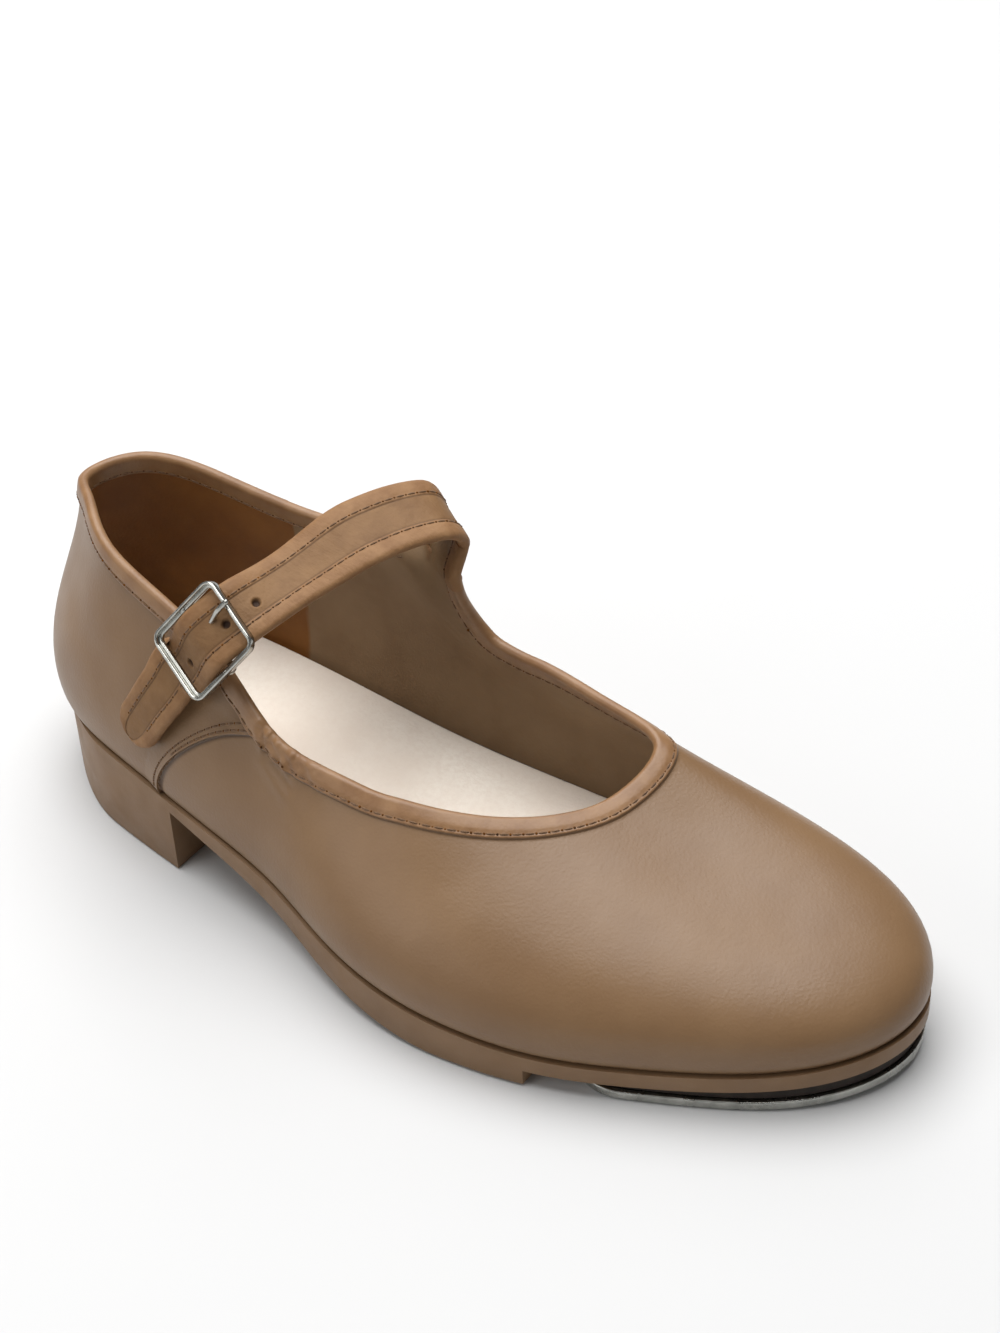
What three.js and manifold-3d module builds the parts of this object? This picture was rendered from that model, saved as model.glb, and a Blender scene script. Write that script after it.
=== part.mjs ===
import * as THREE from 'three';
import { mergeVertices } from 'three/addons/utils/BufferGeometryUtils.js';
import Module from 'manifold-3d';

// A right tap shoe: a hollow upper on a moulded sole with a low block heel, a strap over the instep
// that is buckled on the outer side, and metal taps under toe and heel.
// Millimetres, +Z up, the toe towards -Y and the inner side of the foot towards +X.
const wasm = await Module();
wasm.setup();

// Driving dimensions of the last
const shoeLength = 240;
const ballWidth = 84;
const heelWidth = 57;
const collarHeight = 80;
const throatHeight = 50;
const seatHeight = 25.6;
const forepartHeight = 9.6;
const toeSpring = 4.6;
const seatEnd = 14;
const archEnd = 179;
const springStart = 174;

// Upper
const wall = 1.8;
const bindingWidth = 4.8;
const bindingRise = 0.6;
const bindingInnerRise = 0.3;
const lapRise = 0.7;
const earHeight = 72;
const earTurn = 32;
const earFillet = 9;
const earBackFillet = 17;
const earAlong = 100;

// Moulded sole with its heel
const soleEdge = 0.8;
const heelTuck = 2.4;
const tuckFade = [10, 36];
const heelLength = 60.5;
const heelRimLift = 0.5;
const shankThickness = 3.6;
const treadLift = 0.8;
const treadStart = 151;
const treadEnd = 171;
const toeEdgeThickness = 4.6;

// Taps and the dark board over the toe tap
const tapThickness = 2.8;
const tapBack = 177;
const tapFlatEnd = 211;
const tapTipRise = 2.2;
const tapInset = 0.5;
const tapCorner = 15;
const tapBevel = 0.8;
const heelTapInset = 3.4;
const heelTapThickness = 2.4;
const heelTapCorner = 6;

// Insole
const insoleThickness = 2;
const insoleClearance = 0.7;

// Strap, buckle and the tab that holds the buckle
const strapWidth = 19;
const strapBuckleWidth = 15.8;
const strapEndWidth = 13;
const strapThickness = 2;
const strapHemWidth = 4.2;
const strapHemRise = 0.15;
const strapHeight = 87;
const rootStand = 2.5;
const strapSteps = 72;
const buckleStation = 3.3;
const buckleLift = 7.4;
const buckleLean = 20;
const buckleRake = 30;
const buckleLength = 23;
const buckleSideClearance = 0.3;
const buckleBarWidth = 1.6;
const buckleBarHeight = 2;
const buckleLedge = 0.8;
const buckleCorner = 3;
const pinRadius = 0.8;
const prongRadius = 0.65;
const prongOffset = 1.9;
const tabWidth = 11;
const tabThickness = 1;

// The space kept between neighbouring pieces
const gap = 0.3;

const mix = (a, b, t) => a + (b - a) * t;
const clamp = (x) => Math.min(Math.max(x, 0), 1);
const ease = (from, to, x) => {
  const t = clamp((x - from) / (to - from));
  return t * t * (3 - 2 * t);
};
const radians = (degrees) => (degrees * Math.PI) / 180;

// A point given by its distance from the back of the heel, across towards the inner side, and up.
const place = (along, across, up) => new THREE.Vector3(across, -along, up);
const offsetBy = (point, direction, distance) => point.clone().addScaledVector(direction, distance);

// Sections of the upper round the feather line, where it meets the sole: from the back of the heel
// along the outer side to the toe, and back along the inner side. Lengths are shares: along of the
// shoe's length, across of the local width, topUp of the local topline height, and the two pulls,
// which make the section full, of the distance from feather to topline. Leans are in degrees.
const stationColumns = [
  'along', 'across', 'topAlong', 'topAcross', 'topUp', 'footLean', 'footPull', 'topLean', 'topPull', 'slices',
];
const stationRows = [
  [0.004, 0.000, 0.052, 0.000, 1.000, 18, 0.32, 6, 0.36, 4],
  [0.043, -0.298, 0.093, -0.168, 1.022, 15, 0.30, 4, 0.35, 4],
  [0.134, -0.502, 0.163, -0.342, 0.975, 13, 0.33, 5, 0.33, 4],
  [0.264, -0.562, 0.279, -0.375, 0.856, 12, 0.34, 8, 0.29, 6],
  [0.393, -0.546, 0.382, -0.423, 0.771, 14, 0.37, 10, 0.31, 5],
  [0.512, -0.585, 0.472, -0.383, 0.961, 22, 0.33, 30, 0.28, 5],
  [0.675, -0.555, 0.548, -0.310, 0.986, 25, 0.30, 50, 0.33, 5],
  [0.808, -0.421, 0.615, -0.194, 0.932, 22, 0.29, 62, 0.42, 5],
  [0.939, -0.207, 0.662, -0.054, 0.906, 20, 0.24, 68, 0.51, 5],
  [0.998, 0.073, 0.684, 0.090, 0.920, 18, 0.25, 68, 0.51, 5],
  [0.955, 0.318, 0.683, 0.249, 1.010, 21, 0.30, 64, 0.48, 5],
  [0.839, 0.440, 0.607, 0.312, 1.020, 20, 0.26, 51, 0.32, 5],
  [0.715, 0.446, 0.504, 0.360, 1.028, 20, 0.27, 30, 0.24, 6],
  [0.572, 0.411, 0.423, 0.386, 0.905, 24, 0.32, 12, 0.25, 6],
  [0.431, 0.397, 0.355, 0.398, 0.930, 24, 0.37, 8, 0.29, 6],
  [0.298, 0.435, 0.269, 0.449, 0.881, 18, 0.36, 5, 0.32, 5],
  [0.152, 0.449, 0.143, 0.386, 0.950, 12, 0.35, 5, 0.35, 4],
  [0.041, 0.298, 0.071, 0.235, 0.994, 17, 0.33, 5, 0.37, 4],
];

// The quarter laps over the vamp along two seams, given by their station at the feather and topline.
const outerSeam = { foot: 2.82, top: 3.84, reach: 1.6, back: -1 };
const innerSeam = { foot: 15.35, top: 15.35, reach: 1.6, back: 1 };
const lapFade = 0.55;

// The strap's course over the foot, with its width direction turned inward and dipped, in degrees.
// Along is a share of the shoe's length, across of the ball width and up of the strap's height.
const archColumns = ['along', 'across', 'up', 'turn', 'dip'];
const archRows = [
  [0.420, 0.360, 0.930, 32, 0],
  [0.418, 0.311, 1.000, 32, -12],
  [0.383, 0.116, 1.010, 24, -16],
  [0.351, -0.105, 0.950, 20, -15],
];

// The strap's tail on the outer quarter, by station and by share of the height up the section.
const tailColumns = ['station', 'share'];
const tailRows = [
  [2.95, 0.82],
  [2.87, 0.67],
  [2.78, 0.53],
  [2.69, 0.40],
  [2.60, 0.28],
];

// A closed cubic spline through values spaced one apart.
function ringSpline(values) {
  const count = values.length;
  const weights = values.slice();
  const passes = 40;
  for (let pass = 0; pass < passes; pass += 1) {
    for (let i = 0; i < count; i += 1) {
      const before = weights[(i + count - 1) % count];
      const after = weights[(i + 1) % count];
      weights[i] = (6 * values[i] - before - after) / 4;
    }
  }
  return (position) => {
    const base = Math.floor(position);
    const t = position - base;
    const weight = (k) => weights[(((base + k) % count) + count) % count];
    return (
      weight(-1) * (1 - t) ** 3 +
      weight(0) * (3 * t ** 3 - 6 * t ** 2 + 4) +
      weight(1) * (-3 * t ** 3 + 3 * t ** 2 + 3 * t + 1) +
      weight(2) * t ** 3
    ) / 6;
  };
}

const rowCount = stationRows.length;
const column = Object.fromEntries(
  stationColumns.map((name, k) => [name, ringSpline(stationRows.map((row) => row[k]))]),
);

const waistStart = 0.152;
const waistEnd = 0.621;
const instepStart = 0.308;
const instepEnd = 0.517;
const widthAt = (share) => mix(heelWidth, ballWidth, ease(waistStart, waistEnd, share));
const toplineAt = (share) => mix(collarHeight, throatHeight, ease(instepStart, instepEnd, share));

// Height of the feather line: flat at the heel seat, down the arch, and up again to the toe.
function featherUp(along) {
  const drop = clamp((along - seatEnd) / (archEnd - seatEnd));
  const arch = (1 + Math.cos(Math.PI * drop)) / 2;
  const spring = Math.max(along - springStart, 0) / (shoeLength - springStart);
  return forepartHeight + (seatHeight - forepartHeight) * arch + toeSpring * spring ** 2;
}

function footPoint(u) {
  const share = column.along(u);
  const along = share * shoeLength;
  return place(along, column.across(u) * widthAt(share), featherUp(along));
}

// The level direction out of the shoe at a station.
function outward(u) {
  const step = 0.01;
  const run = footPoint(u + step).sub(footPoint(u - step));
  return new THREE.Vector3(run.y, -run.x, 0).normalize();
}

// The inner quarter rises to an ear, which carries the strap.
const earHalf = (strapWidth / 2) * Math.cos(radians(earTurn));
function earAt(along) {
  const beyond = Math.abs(along - earAlong) - earHalf;
  const fillet = along < earAlong ? earBackFillet : earFillet;
  return (1 - Math.sqrt(clamp(beyond / fillet))) ** 2;
}

const frontStation = 9;
function toplinePoint(u) {
  const share = column.topAlong(u);
  const along = share * shoeLength;
  return place(along, column.topAcross(u) * widthAt(share), column.topUp(u) * toplineAt(share));
}

// The section at a station is one cubic curve from the feather up to the topline.
const minimumOut = 6;
function baseCurve(u) {
  const foot = footPoint(u);
  const top = toplinePoint(u);
  const out = outward(u);
  const up = new THREE.Vector3(0, 0, 1);
  const span = foot.distanceTo(top);
  const footLean = radians(column.footLean(u));
  const topLean = radians(column.topLean(u));
  const towards = foot.clone().sub(top).setZ(0).addScaledVector(out, minimumOut).normalize();
  const lower = foot.clone()
    .addScaledVector(up, Math.cos(footLean) * column.footPull(u) * span)
    .addScaledVector(out, Math.sin(footLean) * column.footPull(u) * span);
  const upper = top.clone()
    .addScaledVector(up, -Math.cos(topLean) * column.topPull(u) * span)
    .addScaledVector(towards, Math.sin(topLean) * column.topPull(u) * span);
  return new THREE.CubicBezierCurve3(foot, lower, upper, top);
}

// Over the topline the face goes on straight up, and turns with the strap, as far as the ear's
// height. That part is counted from 1 to 2.
function earPoint(u, height) {
  const base = baseCurve(u);
  const top = base.v3;
  const step = 0.02;
  const climb = top.clone().sub(base.v2).normalize();
  const run = toplinePoint(u + step).sub(toplinePoint(u - step));
  climb.addScaledVector(run, -climb.y / run.y);
  const full = earHeight - top.z;
  const lean = (climb.x / climb.z) * full * height * (1 - height);
  const turned = Math.tan(radians(earTurn)) * (-top.y - earAlong) * ease(0, 1, height);
  return new THREE.Vector3(top.x + lean - turned, top.y, top.z + full * height);
}

// A point of the upper's outer face, by station and by share of the section's length.
function surfacePoint(u, share) {
  return share > 1 ? earPoint(u, share - 1) : baseCurve(u).getPointAt(Math.max(share, 0));
}

// How far up the face goes at a station.
const earSide = (u) => u > frontStation && u < rowCount;
const topShare = (u) => 1 + (earSide(u) ? earAt(-toplinePoint(u).y) : 0);

function surfaceNormal(u, share) {
  const step = 0.02;
  const high = Math.min(share + step, topShare(u));
  const low = Math.max(Math.min(share, high) - step, 0);
  const round = surfacePoint(u + step, share).sub(surfacePoint(u - step, share));
  const climb = surfacePoint(u, high).sub(surfacePoint(u, low));
  return round.cross(climb).normalize();
}

const outside = (u, share, distance) => offsetBy(surfacePoint(u, share), surfaceNormal(u, share), distance);

// Turns a closed geometry into a solid, and back.
function toSolid(geometry) {
  const bare = new THREE.BufferGeometry();
  bare.setAttribute('position', geometry.getAttribute('position').clone());
  if (geometry.index) bare.setIndex(geometry.index.clone());
  const merged = mergeVertices(bare, 1e-4);
  return new wasm.Manifold(new wasm.Mesh({
    numProp: 3,
    vertProperties: new Float32Array(merged.getAttribute('position').array),
    triVerts: new Uint32Array(merged.index.array),
  }));
}

function toGeometry(solid) {
  const mesh = solid.getMesh();
  const geometry = new THREE.BufferGeometry();
  geometry.setAttribute('position', new THREE.BufferAttribute(new Float32Array(mesh.vertProperties), 3));
  geometry.setIndex(Array.from(mesh.triVerts));
  return geometry;
}

// A closed body through rings of points. With an outline the two ends are capped, and without one
// the last ring joins the first.
function skin(rings, outline) {
  const size = rings[0].length;
  const positions = rings.flat().flatMap((point) => [point.x, point.y, point.z]);
  const faces = [];
  const pairs = outline ? rings.length - 1 : rings.length;
  for (let i = 0; i < pairs; i += 1) {
    const next = (i + 1) % rings.length;
    for (let j = 0; j < size; j += 1) {
      const beside = (j + 1) % size;
      const [a, b, c, d] = [i * size + j, i * size + beside, next * size + beside, next * size + j];
      faces.push(a, b, c, a, c, d);
    }
  }
  if (outline) {
    const last = (rings.length - 1) * size;
    const turned = THREE.ShapeUtils.isClockWise(outline);
    THREE.ShapeUtils.triangulateShape(outline, []).forEach((corners) => {
      const [a, b, c] = turned ? corners.reverse() : corners;
      faces.push(a, c, b, last + a, last + b, last + c);
    });
  }
  const geometry = new THREE.BufferGeometry();
  geometry.setAttribute('position', new THREE.Float32BufferAttribute(positions, 3));
  geometry.setIndex(faces);
  if (volumeOf(rings, faces) < 0) {
    for (let k = 0; k < faces.length; k += 3) [faces[k + 1], faces[k + 2]] = [faces[k + 2], faces[k + 1]];
    geometry.setIndex(faces);
  }
  return geometry;
}

function volumeOf(rings, faces) {
  const points = rings.flat();
  let sum = 0;
  for (let k = 0; k < faces.length; k += 3) {
    const [a, b, c] = [points[faces[k]], points[faces[k + 1]], points[faces[k + 2]]];
    sum += a.dot(b.clone().cross(c));
  }
  return sum;
}

// The upper: one wall of even thickness, raised along the folded binding and behind the two laps.
// Levels up the wall are shares of the curve without the ear, as far as the hem's own part begins.
const wallLevels = [0, 0.05, 0.14, 0.25, 0.37, 0.49, 0.61, 0.73, 0.86, 1];
const hemLevel = 0.61;

function seamShift(seam, c, share) {
  const blend = Math.max(0, 1 - Math.abs(c - seam.top) / seam.reach);
  return blend * (seam.foot - seam.top) * (1 - share ** 1.15);
}

function lapAt(seam, c) {
  const behind = (c - seam.top) * seam.back;
  return behind > 0 ? lapRise * Math.max(0, 1 - behind / lapFade) : 0;
}

// Stations of the inner topline at a distance from the back of the heel.
function innerStation(along) {
  let [front, back] = [frontStation, rowCount];
  const halvings = 40;
  for (let i = 0; i < halvings; i += 1) {
    const half = (front + back) / 2;
    if (column.topAlong(half) * shoeLength > along) front = half;
    else back = half;
  }
  return (front + back) / 2;
}

function upperColumns() {
  const halfStep = 0.012;
  const acrossEar = [-1, -0.75, -0.5, -0.25, 0, 0.25, 0.5, 0.75, 1].map((share) => share * earHalf);
  const besideEar = [0.04, 0.12, 0.25, 0.45, 0.7, 1];
  const ahead = besideEar.map((share) => earHalf + share * earFillet);
  const behind = besideEar.map((share) => -earHalf - share * earBackFillet);
  const earColumns = [...behind, ...acrossEar, ...ahead].map((x) => innerStation(earAlong + x));
  const earZone = [Math.min(...earColumns), Math.max(...earColumns)];
  const columns = [];
  stationRows.forEach((row, k) => {
    const slices = row[stationColumns.indexOf('slices')];
    for (let i = 0; i < slices; i += 1) columns.push(k + i / slices);
  });
  const clearOf = (c) => c < earZone[0] - halfStep * 4 || c > earZone[1] + halfStep * 4;
  [outerSeam, innerSeam].forEach((seam) => columns.push(seam.top - halfStep, seam.top + halfStep));
  return [...columns.filter(clearOf), ...earColumns].sort((a, b) => a - b);
}

function upperRing(c) {
  const spot = (share) => c + seamShift(outerSeam, c, share) + seamShift(innerSeam, c, share);
  const rise = lapAt(outerSeam, c) + lapAt(innerSeam, c);
  const plain = baseCurve(c).getLength();
  const full = Math.max(earHeight - toplinePoint(c).z, bindingWidth);
  const length = plain + full * (topShare(c) - 1);
  const at = (distance, lift) => {
    const share = distance > plain ? 1 + (distance - plain) / full : distance / plain;
    return outside(spot(share), share, lift);
  };
  const hem = length - bindingWidth;
  const rim = length - bindingRise;
  const middle = (hem + rim) / 2;
  const distances = wallLevels.map((level) => (level > hemLevel
    ? mix(hemLevel * plain, hem, (level - hemLevel) / (1 - hemLevel))
    : level * plain));
  const outer = distances.map((distance) => at(distance, rise));
  const inner = distances.map((distance) => at(distance, -wall)).reverse();
  const crest = offsetBy(at(length, -wall / 2), new THREE.Vector3(0, 0, 1), bindingRise);
  const fold = bindingRise + rise;
  const lining = -wall - bindingInnerRise;
  return [
    ...outer, at(hem, fold), at(middle, fold), at(rim, fold * 0.8), crest,
    at(rim, lining), at(middle, lining), at(hem, lining), ...inner,
  ];
}

const upperGeometry = () => skin(upperColumns().map(upperRing), null);

// The outline in plan at a distance beyond the feather line, tucked in round the heel's back: its
// two ends, and its two sides at a distance from the heel.
function planOutline(beyond, tuck = 0) {
  const samples = 720;
  const points = Array.from({ length: samples + 1 }, (_, k) => {
    const u = (k / samples) * rowCount;
    const foot = footPoint(u);
    const tucked = tuck * (1 - ease(...tuckFade, -foot.y));
    const point = offsetBy(foot, outward(u), beyond - tucked);
    return { along: -point.y, across: point.x };
  });
  const alongs = points.map((point) => point.along);
  const front = alongs.indexOf(Math.max(...alongs));
  const back = alongs.indexOf(Math.min(...alongs));
  const turn = (list, start) => [...list.slice(start, -1), ...list.slice(0, start + 1)];
  const ring = turn(points, back);
  const frontIndex = (front - back + samples) % samples;
  const side = (branch, along) => {
    const k = branch.findIndex((point, i) => i > 0 && point.along >= along);
    const [a, b] = [branch[k - 1], branch[k]];
    return mix(a.across, b.across, (along - a.along) / (b.along - a.along));
  };
  const outerSide = ring.slice(0, frontIndex + 1);
  const innerSide = ring.slice(frontIndex).reverse();
  return {
    back: ring[0].along,
    front: ring[frontIndex].along,
    sidesAt: (along) => [side(outerSide, along), side(innerSide, along)],
  };
}

// A plate between two heights that follows the outline, with its square ends rounded and its lower
// edge bevelled.
function plate(outline, { from, to, bottom, top, corner = 0, bevel = 0, slices = 40 }) {
  const tip = 0.012;
  const roundAt = (distance) => {
    if (distance >= corner) return 0;
    return corner - Math.sqrt(corner ** 2 - (corner - distance) ** 2);
  };
  const rings = Array.from({ length: slices + 1 }, (_, k) => {
    const t = mix(tip, 1 - tip, k / slices);
    const along = mix(from, to, (1 - Math.cos(Math.PI * t)) / 2);
    const [outer, inner] = outline.sidesAt(along);
    const squareFront = to < outline.front ? roundAt(to - along) : 0;
    const squareBack = from > outline.back ? roundAt(along - from) : 0;
    const pull = Math.max(squareFront, squareBack);
    const [low, high] = [bottom(along), top(along)];
    const [left, right] = [outer + pull, inner - pull];
    const cut = Math.min(bevel, (right - left) / 4);
    const section = [
      [left, low + cut], [left + cut, low], [right - cut, low], [right, low + cut], [right, high], [left, high],
    ];
    const kept = bevel > 0 ? section : [[left, low], [right, low], [right, high], [left, high]];
    return kept.map(([across, up]) => place(along, across, up));
  });
  const outlineAcross = rings[Math.floor(slices / 2)].map((point) => new THREE.Vector2(point.x, point.z));
  return skin(rings, outlineAcross);
}

// A side profile, given as along and up, cut right across the shoe.
function crossCutter(points) {
  const shape = new THREE.Shape(points);
  const depth = ballWidth * 2;
  const geometry = new THREE.ExtrudeGeometry(shape, { depth, bevelEnabled: false });
  geometry.translate(0, 0, -depth / 2);
  const basis = new THREE.Matrix4().makeBasis(
    new THREE.Vector3(0, -1, 0),
    new THREE.Vector3(0, 0, 1),
    new THREE.Vector3(-1, 0, 0),
  );
  return toSolid(geometry.applyMatrix4(basis));
}

const below = -10;
const toeCeiling = (along) => featherUp(along) - toeEdgeThickness;

// The hollow under the arch, from the heel's flat breast to the tread.
function archCutter() {
  const shankUp = featherUp(heelLength) - shankThickness;
  const run = treadStart - heelLength;
  const curve = new THREE.CubicBezierCurve(
    new THREE.Vector2(heelLength, shankUp),
    new THREE.Vector2(heelLength + run * 0.34, shankUp - run * 0.07),
    new THREE.Vector2(treadStart - run * 0.28, treadLift),
    new THREE.Vector2(treadStart, treadLift),
  );
  const beyondToe = shoeLength * 1.1;
  return crossCutter([
    new THREE.Vector2(heelLength, below),
    ...curve.getPoints(14),
    new THREE.Vector2(beyondToe, treadLift),
    new THREE.Vector2(beyondToe, below),
  ]);
}

// The step in the sole that takes the toe tap.
function toeCutter() {
  const beyondToe = shoeLength * 1.1;
  const steps = 12;
  const ceiling = Array.from({ length: steps + 1 }, (_, k) => {
    const along = mix(treadEnd, beyondToe, k / steps);
    return new THREE.Vector2(along, toeCeiling(along));
  });
  return crossCutter([new THREE.Vector2(treadEnd, below), ...ceiling, new THREE.Vector2(beyondToe, below)]);
}

const soleOutline = planOutline(soleEdge, heelTuck);

function soleGeometry() {
  const slab = toSolid(plate(soleOutline, {
    from: soleOutline.back,
    to: soleOutline.front,
    bottom: () => heelRimLift,
    top: (along) => featherUp(along) - gap,
    slices: 56,
  }));
  const heelPocket = toSolid(heelPlate(heelTapInset - gap, below, heelTapThickness + gap));
  return toGeometry(slab.subtract(archCutter()).subtract(toeCutter()).subtract(heelPocket));
}

// A plate inside the heel's outline.
function heelPlate(inset, bottom, top) {
  const outline = planOutline(soleEdge - inset, heelTuck);
  return plate(outline, {
    from: outline.back,
    to: heelLength - inset,
    bottom: () => bottom,
    top: () => top,
    corner: heelTapCorner,
    slices: 24,
  });
}

const tapOutline = planOutline(soleEdge - tapInset);
const tapBottom = (along) => {
  const rise = Math.max(along - tapFlatEnd, 0) / (shoeLength - tapFlatEnd);
  return tapTipRise * rise ** 2;
};

const toeTapGeometry = () => plate(tapOutline, {
  from: tapBack,
  to: tapOutline.front,
  bottom: tapBottom,
  top: (along) => tapBottom(along) + tapThickness,
  corner: tapCorner,
  bevel: tapBevel,
  slices: 32,
});

// The dark board fills the wedge between the toe tap and the sole.
function boardGeometry() {
  const outline = planOutline(soleEdge - tapInset * 3);
  return plate(outline, {
    from: tapBack + tapInset * 2,
    to: outline.front,
    bottom: (along) => tapBottom(along) + tapThickness + gap,
    top: (along) => toeCeiling(along) - gap,
    corner: tapCorner,
    slices: 28,
  });
}

function insoleGeometry() {
  const outline = planOutline(-wall - insoleClearance);
  return plate(outline, {
    from: outline.back,
    to: outline.front,
    bottom: (along) => featherUp(along) + gap / 2,
    top: (along) => featherUp(along) + gap / 2 + insoleThickness,
    slices: 36,
  });
}

// The buckle stands over the topline of the outer quarter. Its own axes are across the strap towards
// the heel, down the strap, and out from the foot.
const stripHalf = strapThickness / 2 + strapHemRise;
const tabInner = bindingRise + gap;
const pinUp = tabInner + tabThickness + gap + pinRadius;
const loopRadius = pinRadius + gap + tabThickness;
const prongHook = pinRadius + gap + prongRadius;
const strapOverPin = pinUp + prongHook + prongRadius + gap + stripHalf;
const strapUnderBar = tabInner + tabThickness + gap + stripHalf;
const barBottom = strapUnderBar + stripHalf + gap * 3.2;
const barAt = (buckleLength - buckleBarWidth) / 2;
const prongSlot = (prongRadius + gap) * 2;

const buckle = (() => {
  const top = surfacePoint(buckleStation, 1);
  const climb = top.clone().sub(surfacePoint(buckleStation, 1 - bindingWidth / collarHeight)).normalize();
  const wallOut = surfaceNormal(buckleStation, 1);
  const level = wallOut.clone().cross(new THREE.Vector3(0, 0, 1)).normalize();
  const wallDown = wallOut.clone().cross(level).applyAxisAngle(wallOut, radians(-buckleRake));
  const side = wallDown.clone().cross(wallOut);
  const out = wallOut.clone().applyAxisAngle(side, radians(buckleLean));
  const down = wallDown.clone().applyAxisAngle(side, radians(buckleLean));
  return { centre: offsetBy(top, climb, buckleLift), out, down, side };
})();

const buckleMatrix = new THREE.Matrix4()
  .makeBasis(buckle.side, buckle.down, buckle.out)
  .setPosition(buckle.centre);
const atBuckle = (side, down, out) => new THREE.Vector3(side, down, out).applyMatrix4(buckleMatrix);

// Stops down the outer quarter at a lift from its face, with the direction across.
function tailStops(liftAt) {
  let before = buckle.centre;
  return tailRows.map((row, k) => {
    const [station, share] = [row[tailColumns.indexOf('station')], row[tailColumns.indexOf('share')]];
    const point = surfacePoint(station, share);
    const out = surfaceNormal(station, share);
    const down = point.clone().sub(before);
    before = point;
    return { point: offsetBy(point, out, liftAt(k)), width: out.clone().cross(down).normalize() };
  });
}

// The strap's centre line with its width direction, from the ear to the end of the tail.
function strapRoute() {
  const route = [];
  const add = (point, width) => route.push({ point, width: width.clone().normalize() });
  const toeward = (turn, dip) => new THREE.Vector3(
    -Math.sin(radians(turn)) * Math.cos(radians(dip)),
    -Math.cos(radians(turn)) * Math.cos(radians(dip)),
    Math.sin(radians(dip)),
  );
  const root = innerStation(earAlong);
  const seat = outside(root, 2, -wall / 2);
  seat.z = earHeight + bindingRise + gap * 2;
  add(seat, toeward(earTurn, 0));
  const outFace = new THREE.Vector3(Math.cos(radians(earTurn)), -Math.sin(radians(earTurn)), 0);
  const stand = offsetBy(seat, outFace, rootStand / 4);
  stand.z += rootStand;
  add(stand, toeward(earTurn, 0));
  const field = (name) => archColumns.indexOf(name);
  archRows.forEach((row) => {
    const point = place(
      row[field('along')] * shoeLength,
      row[field('across')] * ballWidth,
      row[field('up')] * strapHeight,
    );
    add(point, toeward(row[field('turn')], row[field('dip')]));
  });
  const width = buckle.side.clone().negate();
  add(atBuckle(0, -barAt * 0.9, strapUnderBar), width);
  add(atBuckle(0, 0, strapOverPin), width);
  add(atBuckle(0, barAt * 0.82, strapUnderBar), width);
  add(atBuckle(0, barAt * 1.12, strapUnderBar - gap * 3), width);
  tailStops((k) => mix(strapUnderBar + gap * 1.8, stripHalf + gap * 2, ease(1, tailRows.length - 1, k)))
    .forEach((stop) => add(stop.point, stop.width));
  return route;
}

// Even sections along a course, each with its place, width direction and face direction.
function follow(route, steps) {
  const centre = new THREE.CatmullRomCurve3(route.map((stop) => stop.point));
  const across = new THREE.CatmullRomCurve3(route.map((stop) => stop.width), false, 'catmullrom');
  return Array.from({ length: steps + 1 }, (_, k) => {
    const t = centre.getUtoTmapping(k / steps);
    const run = centre.getTangent(t);
    const width = across.getPoint(t);
    width.addScaledVector(run, -width.dot(run)).normalize();
    return { share: k / steps, point: centre.getPoint(t), width, face: run.clone().cross(width) };
  });
}

// The strap narrows before the buckle and again down the tail, which has a round tip.
function strapSections() {
  const route = strapRoute();
  const length = new THREE.CatmullRomCurve3(route.map((stop) => stop.point)).getLength();
  const frames = follow(route, strapSteps);
  const tipRadius = strapEndWidth / 2;
  const tipLeast = 0.1;
  frames.forEach((frame) => {
    const left = length * (1 - frame.share);
    const before = mix(strapWidth, strapBuckleWidth, ease(0.3, 0.52, frame.share));
    const width = mix(before, strapEndWidth, ease(0.68, 0.95, frame.share));
    const round = left < tipRadius ? Math.sqrt(1 - (1 - left / tipRadius) ** 2) : 1;
    frame.scale = (width / strapWidth) * Math.max(round, tipLeast);
  });
  return frames;
}

function strapGeometry() {
  const half = strapWidth / 2;
  const hem = half - strapHemWidth;
  const body = strapThickness / 2;
  const soft = 0.5;
  const side = [
    [-half, body * 0.5], [soft - half, stripHalf], [-hem, stripHalf], [soft - hem, body],
    [hem - soft, body], [hem, stripHalf], [half - soft, stripHalf], [half, body * 0.5],
  ];
  const outline = [...side, ...side.map(([x, y]) => [x, -y]).reverse()].map(([x, y]) => new THREE.Vector2(x, y));
  const rings = strapSections().map((frame) => outline.map((corner) => frame.point.clone()
    .addScaledVector(frame.width, corner.x * frame.scale)
    .addScaledVector(frame.face, corner.y)));
  const strap = toSolid(skin(rings, outline));
  const slot = new THREE.BoxGeometry(prongSlot, barAt * 0.75, strapOverPin * 2);
  slot.translate(prongOffset, -barAt * 0.45, strapOverPin);
  return toGeometry(strap.subtract(toSolid(slot.applyMatrix4(buckleMatrix))));
}

// A round rod along points that lie in one plane, given the direction square to that plane.
function rod(points, square, radius, sides = 8) {
  const curve = new THREE.CatmullRomCurve3(points);
  const steps = (points.length - 1) * 4;
  const circle = Array.from({ length: sides }, (_, k) => {
    const angle = (k / sides) * Math.PI * 2;
    return new THREE.Vector2(Math.cos(angle) * radius, Math.sin(angle) * radius);
  });
  const rings = Array.from({ length: steps + 1 }, (_, k) => {
    const point = curve.getPoint(k / steps);
    const lift = curve.getTangent(k / steps).cross(square).normalize();
    return circle.map((spot) => point.clone().addScaledVector(square, spot.x).addScaledVector(lift, spot.y));
  });
  return skin(rings, circle);
}

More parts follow.
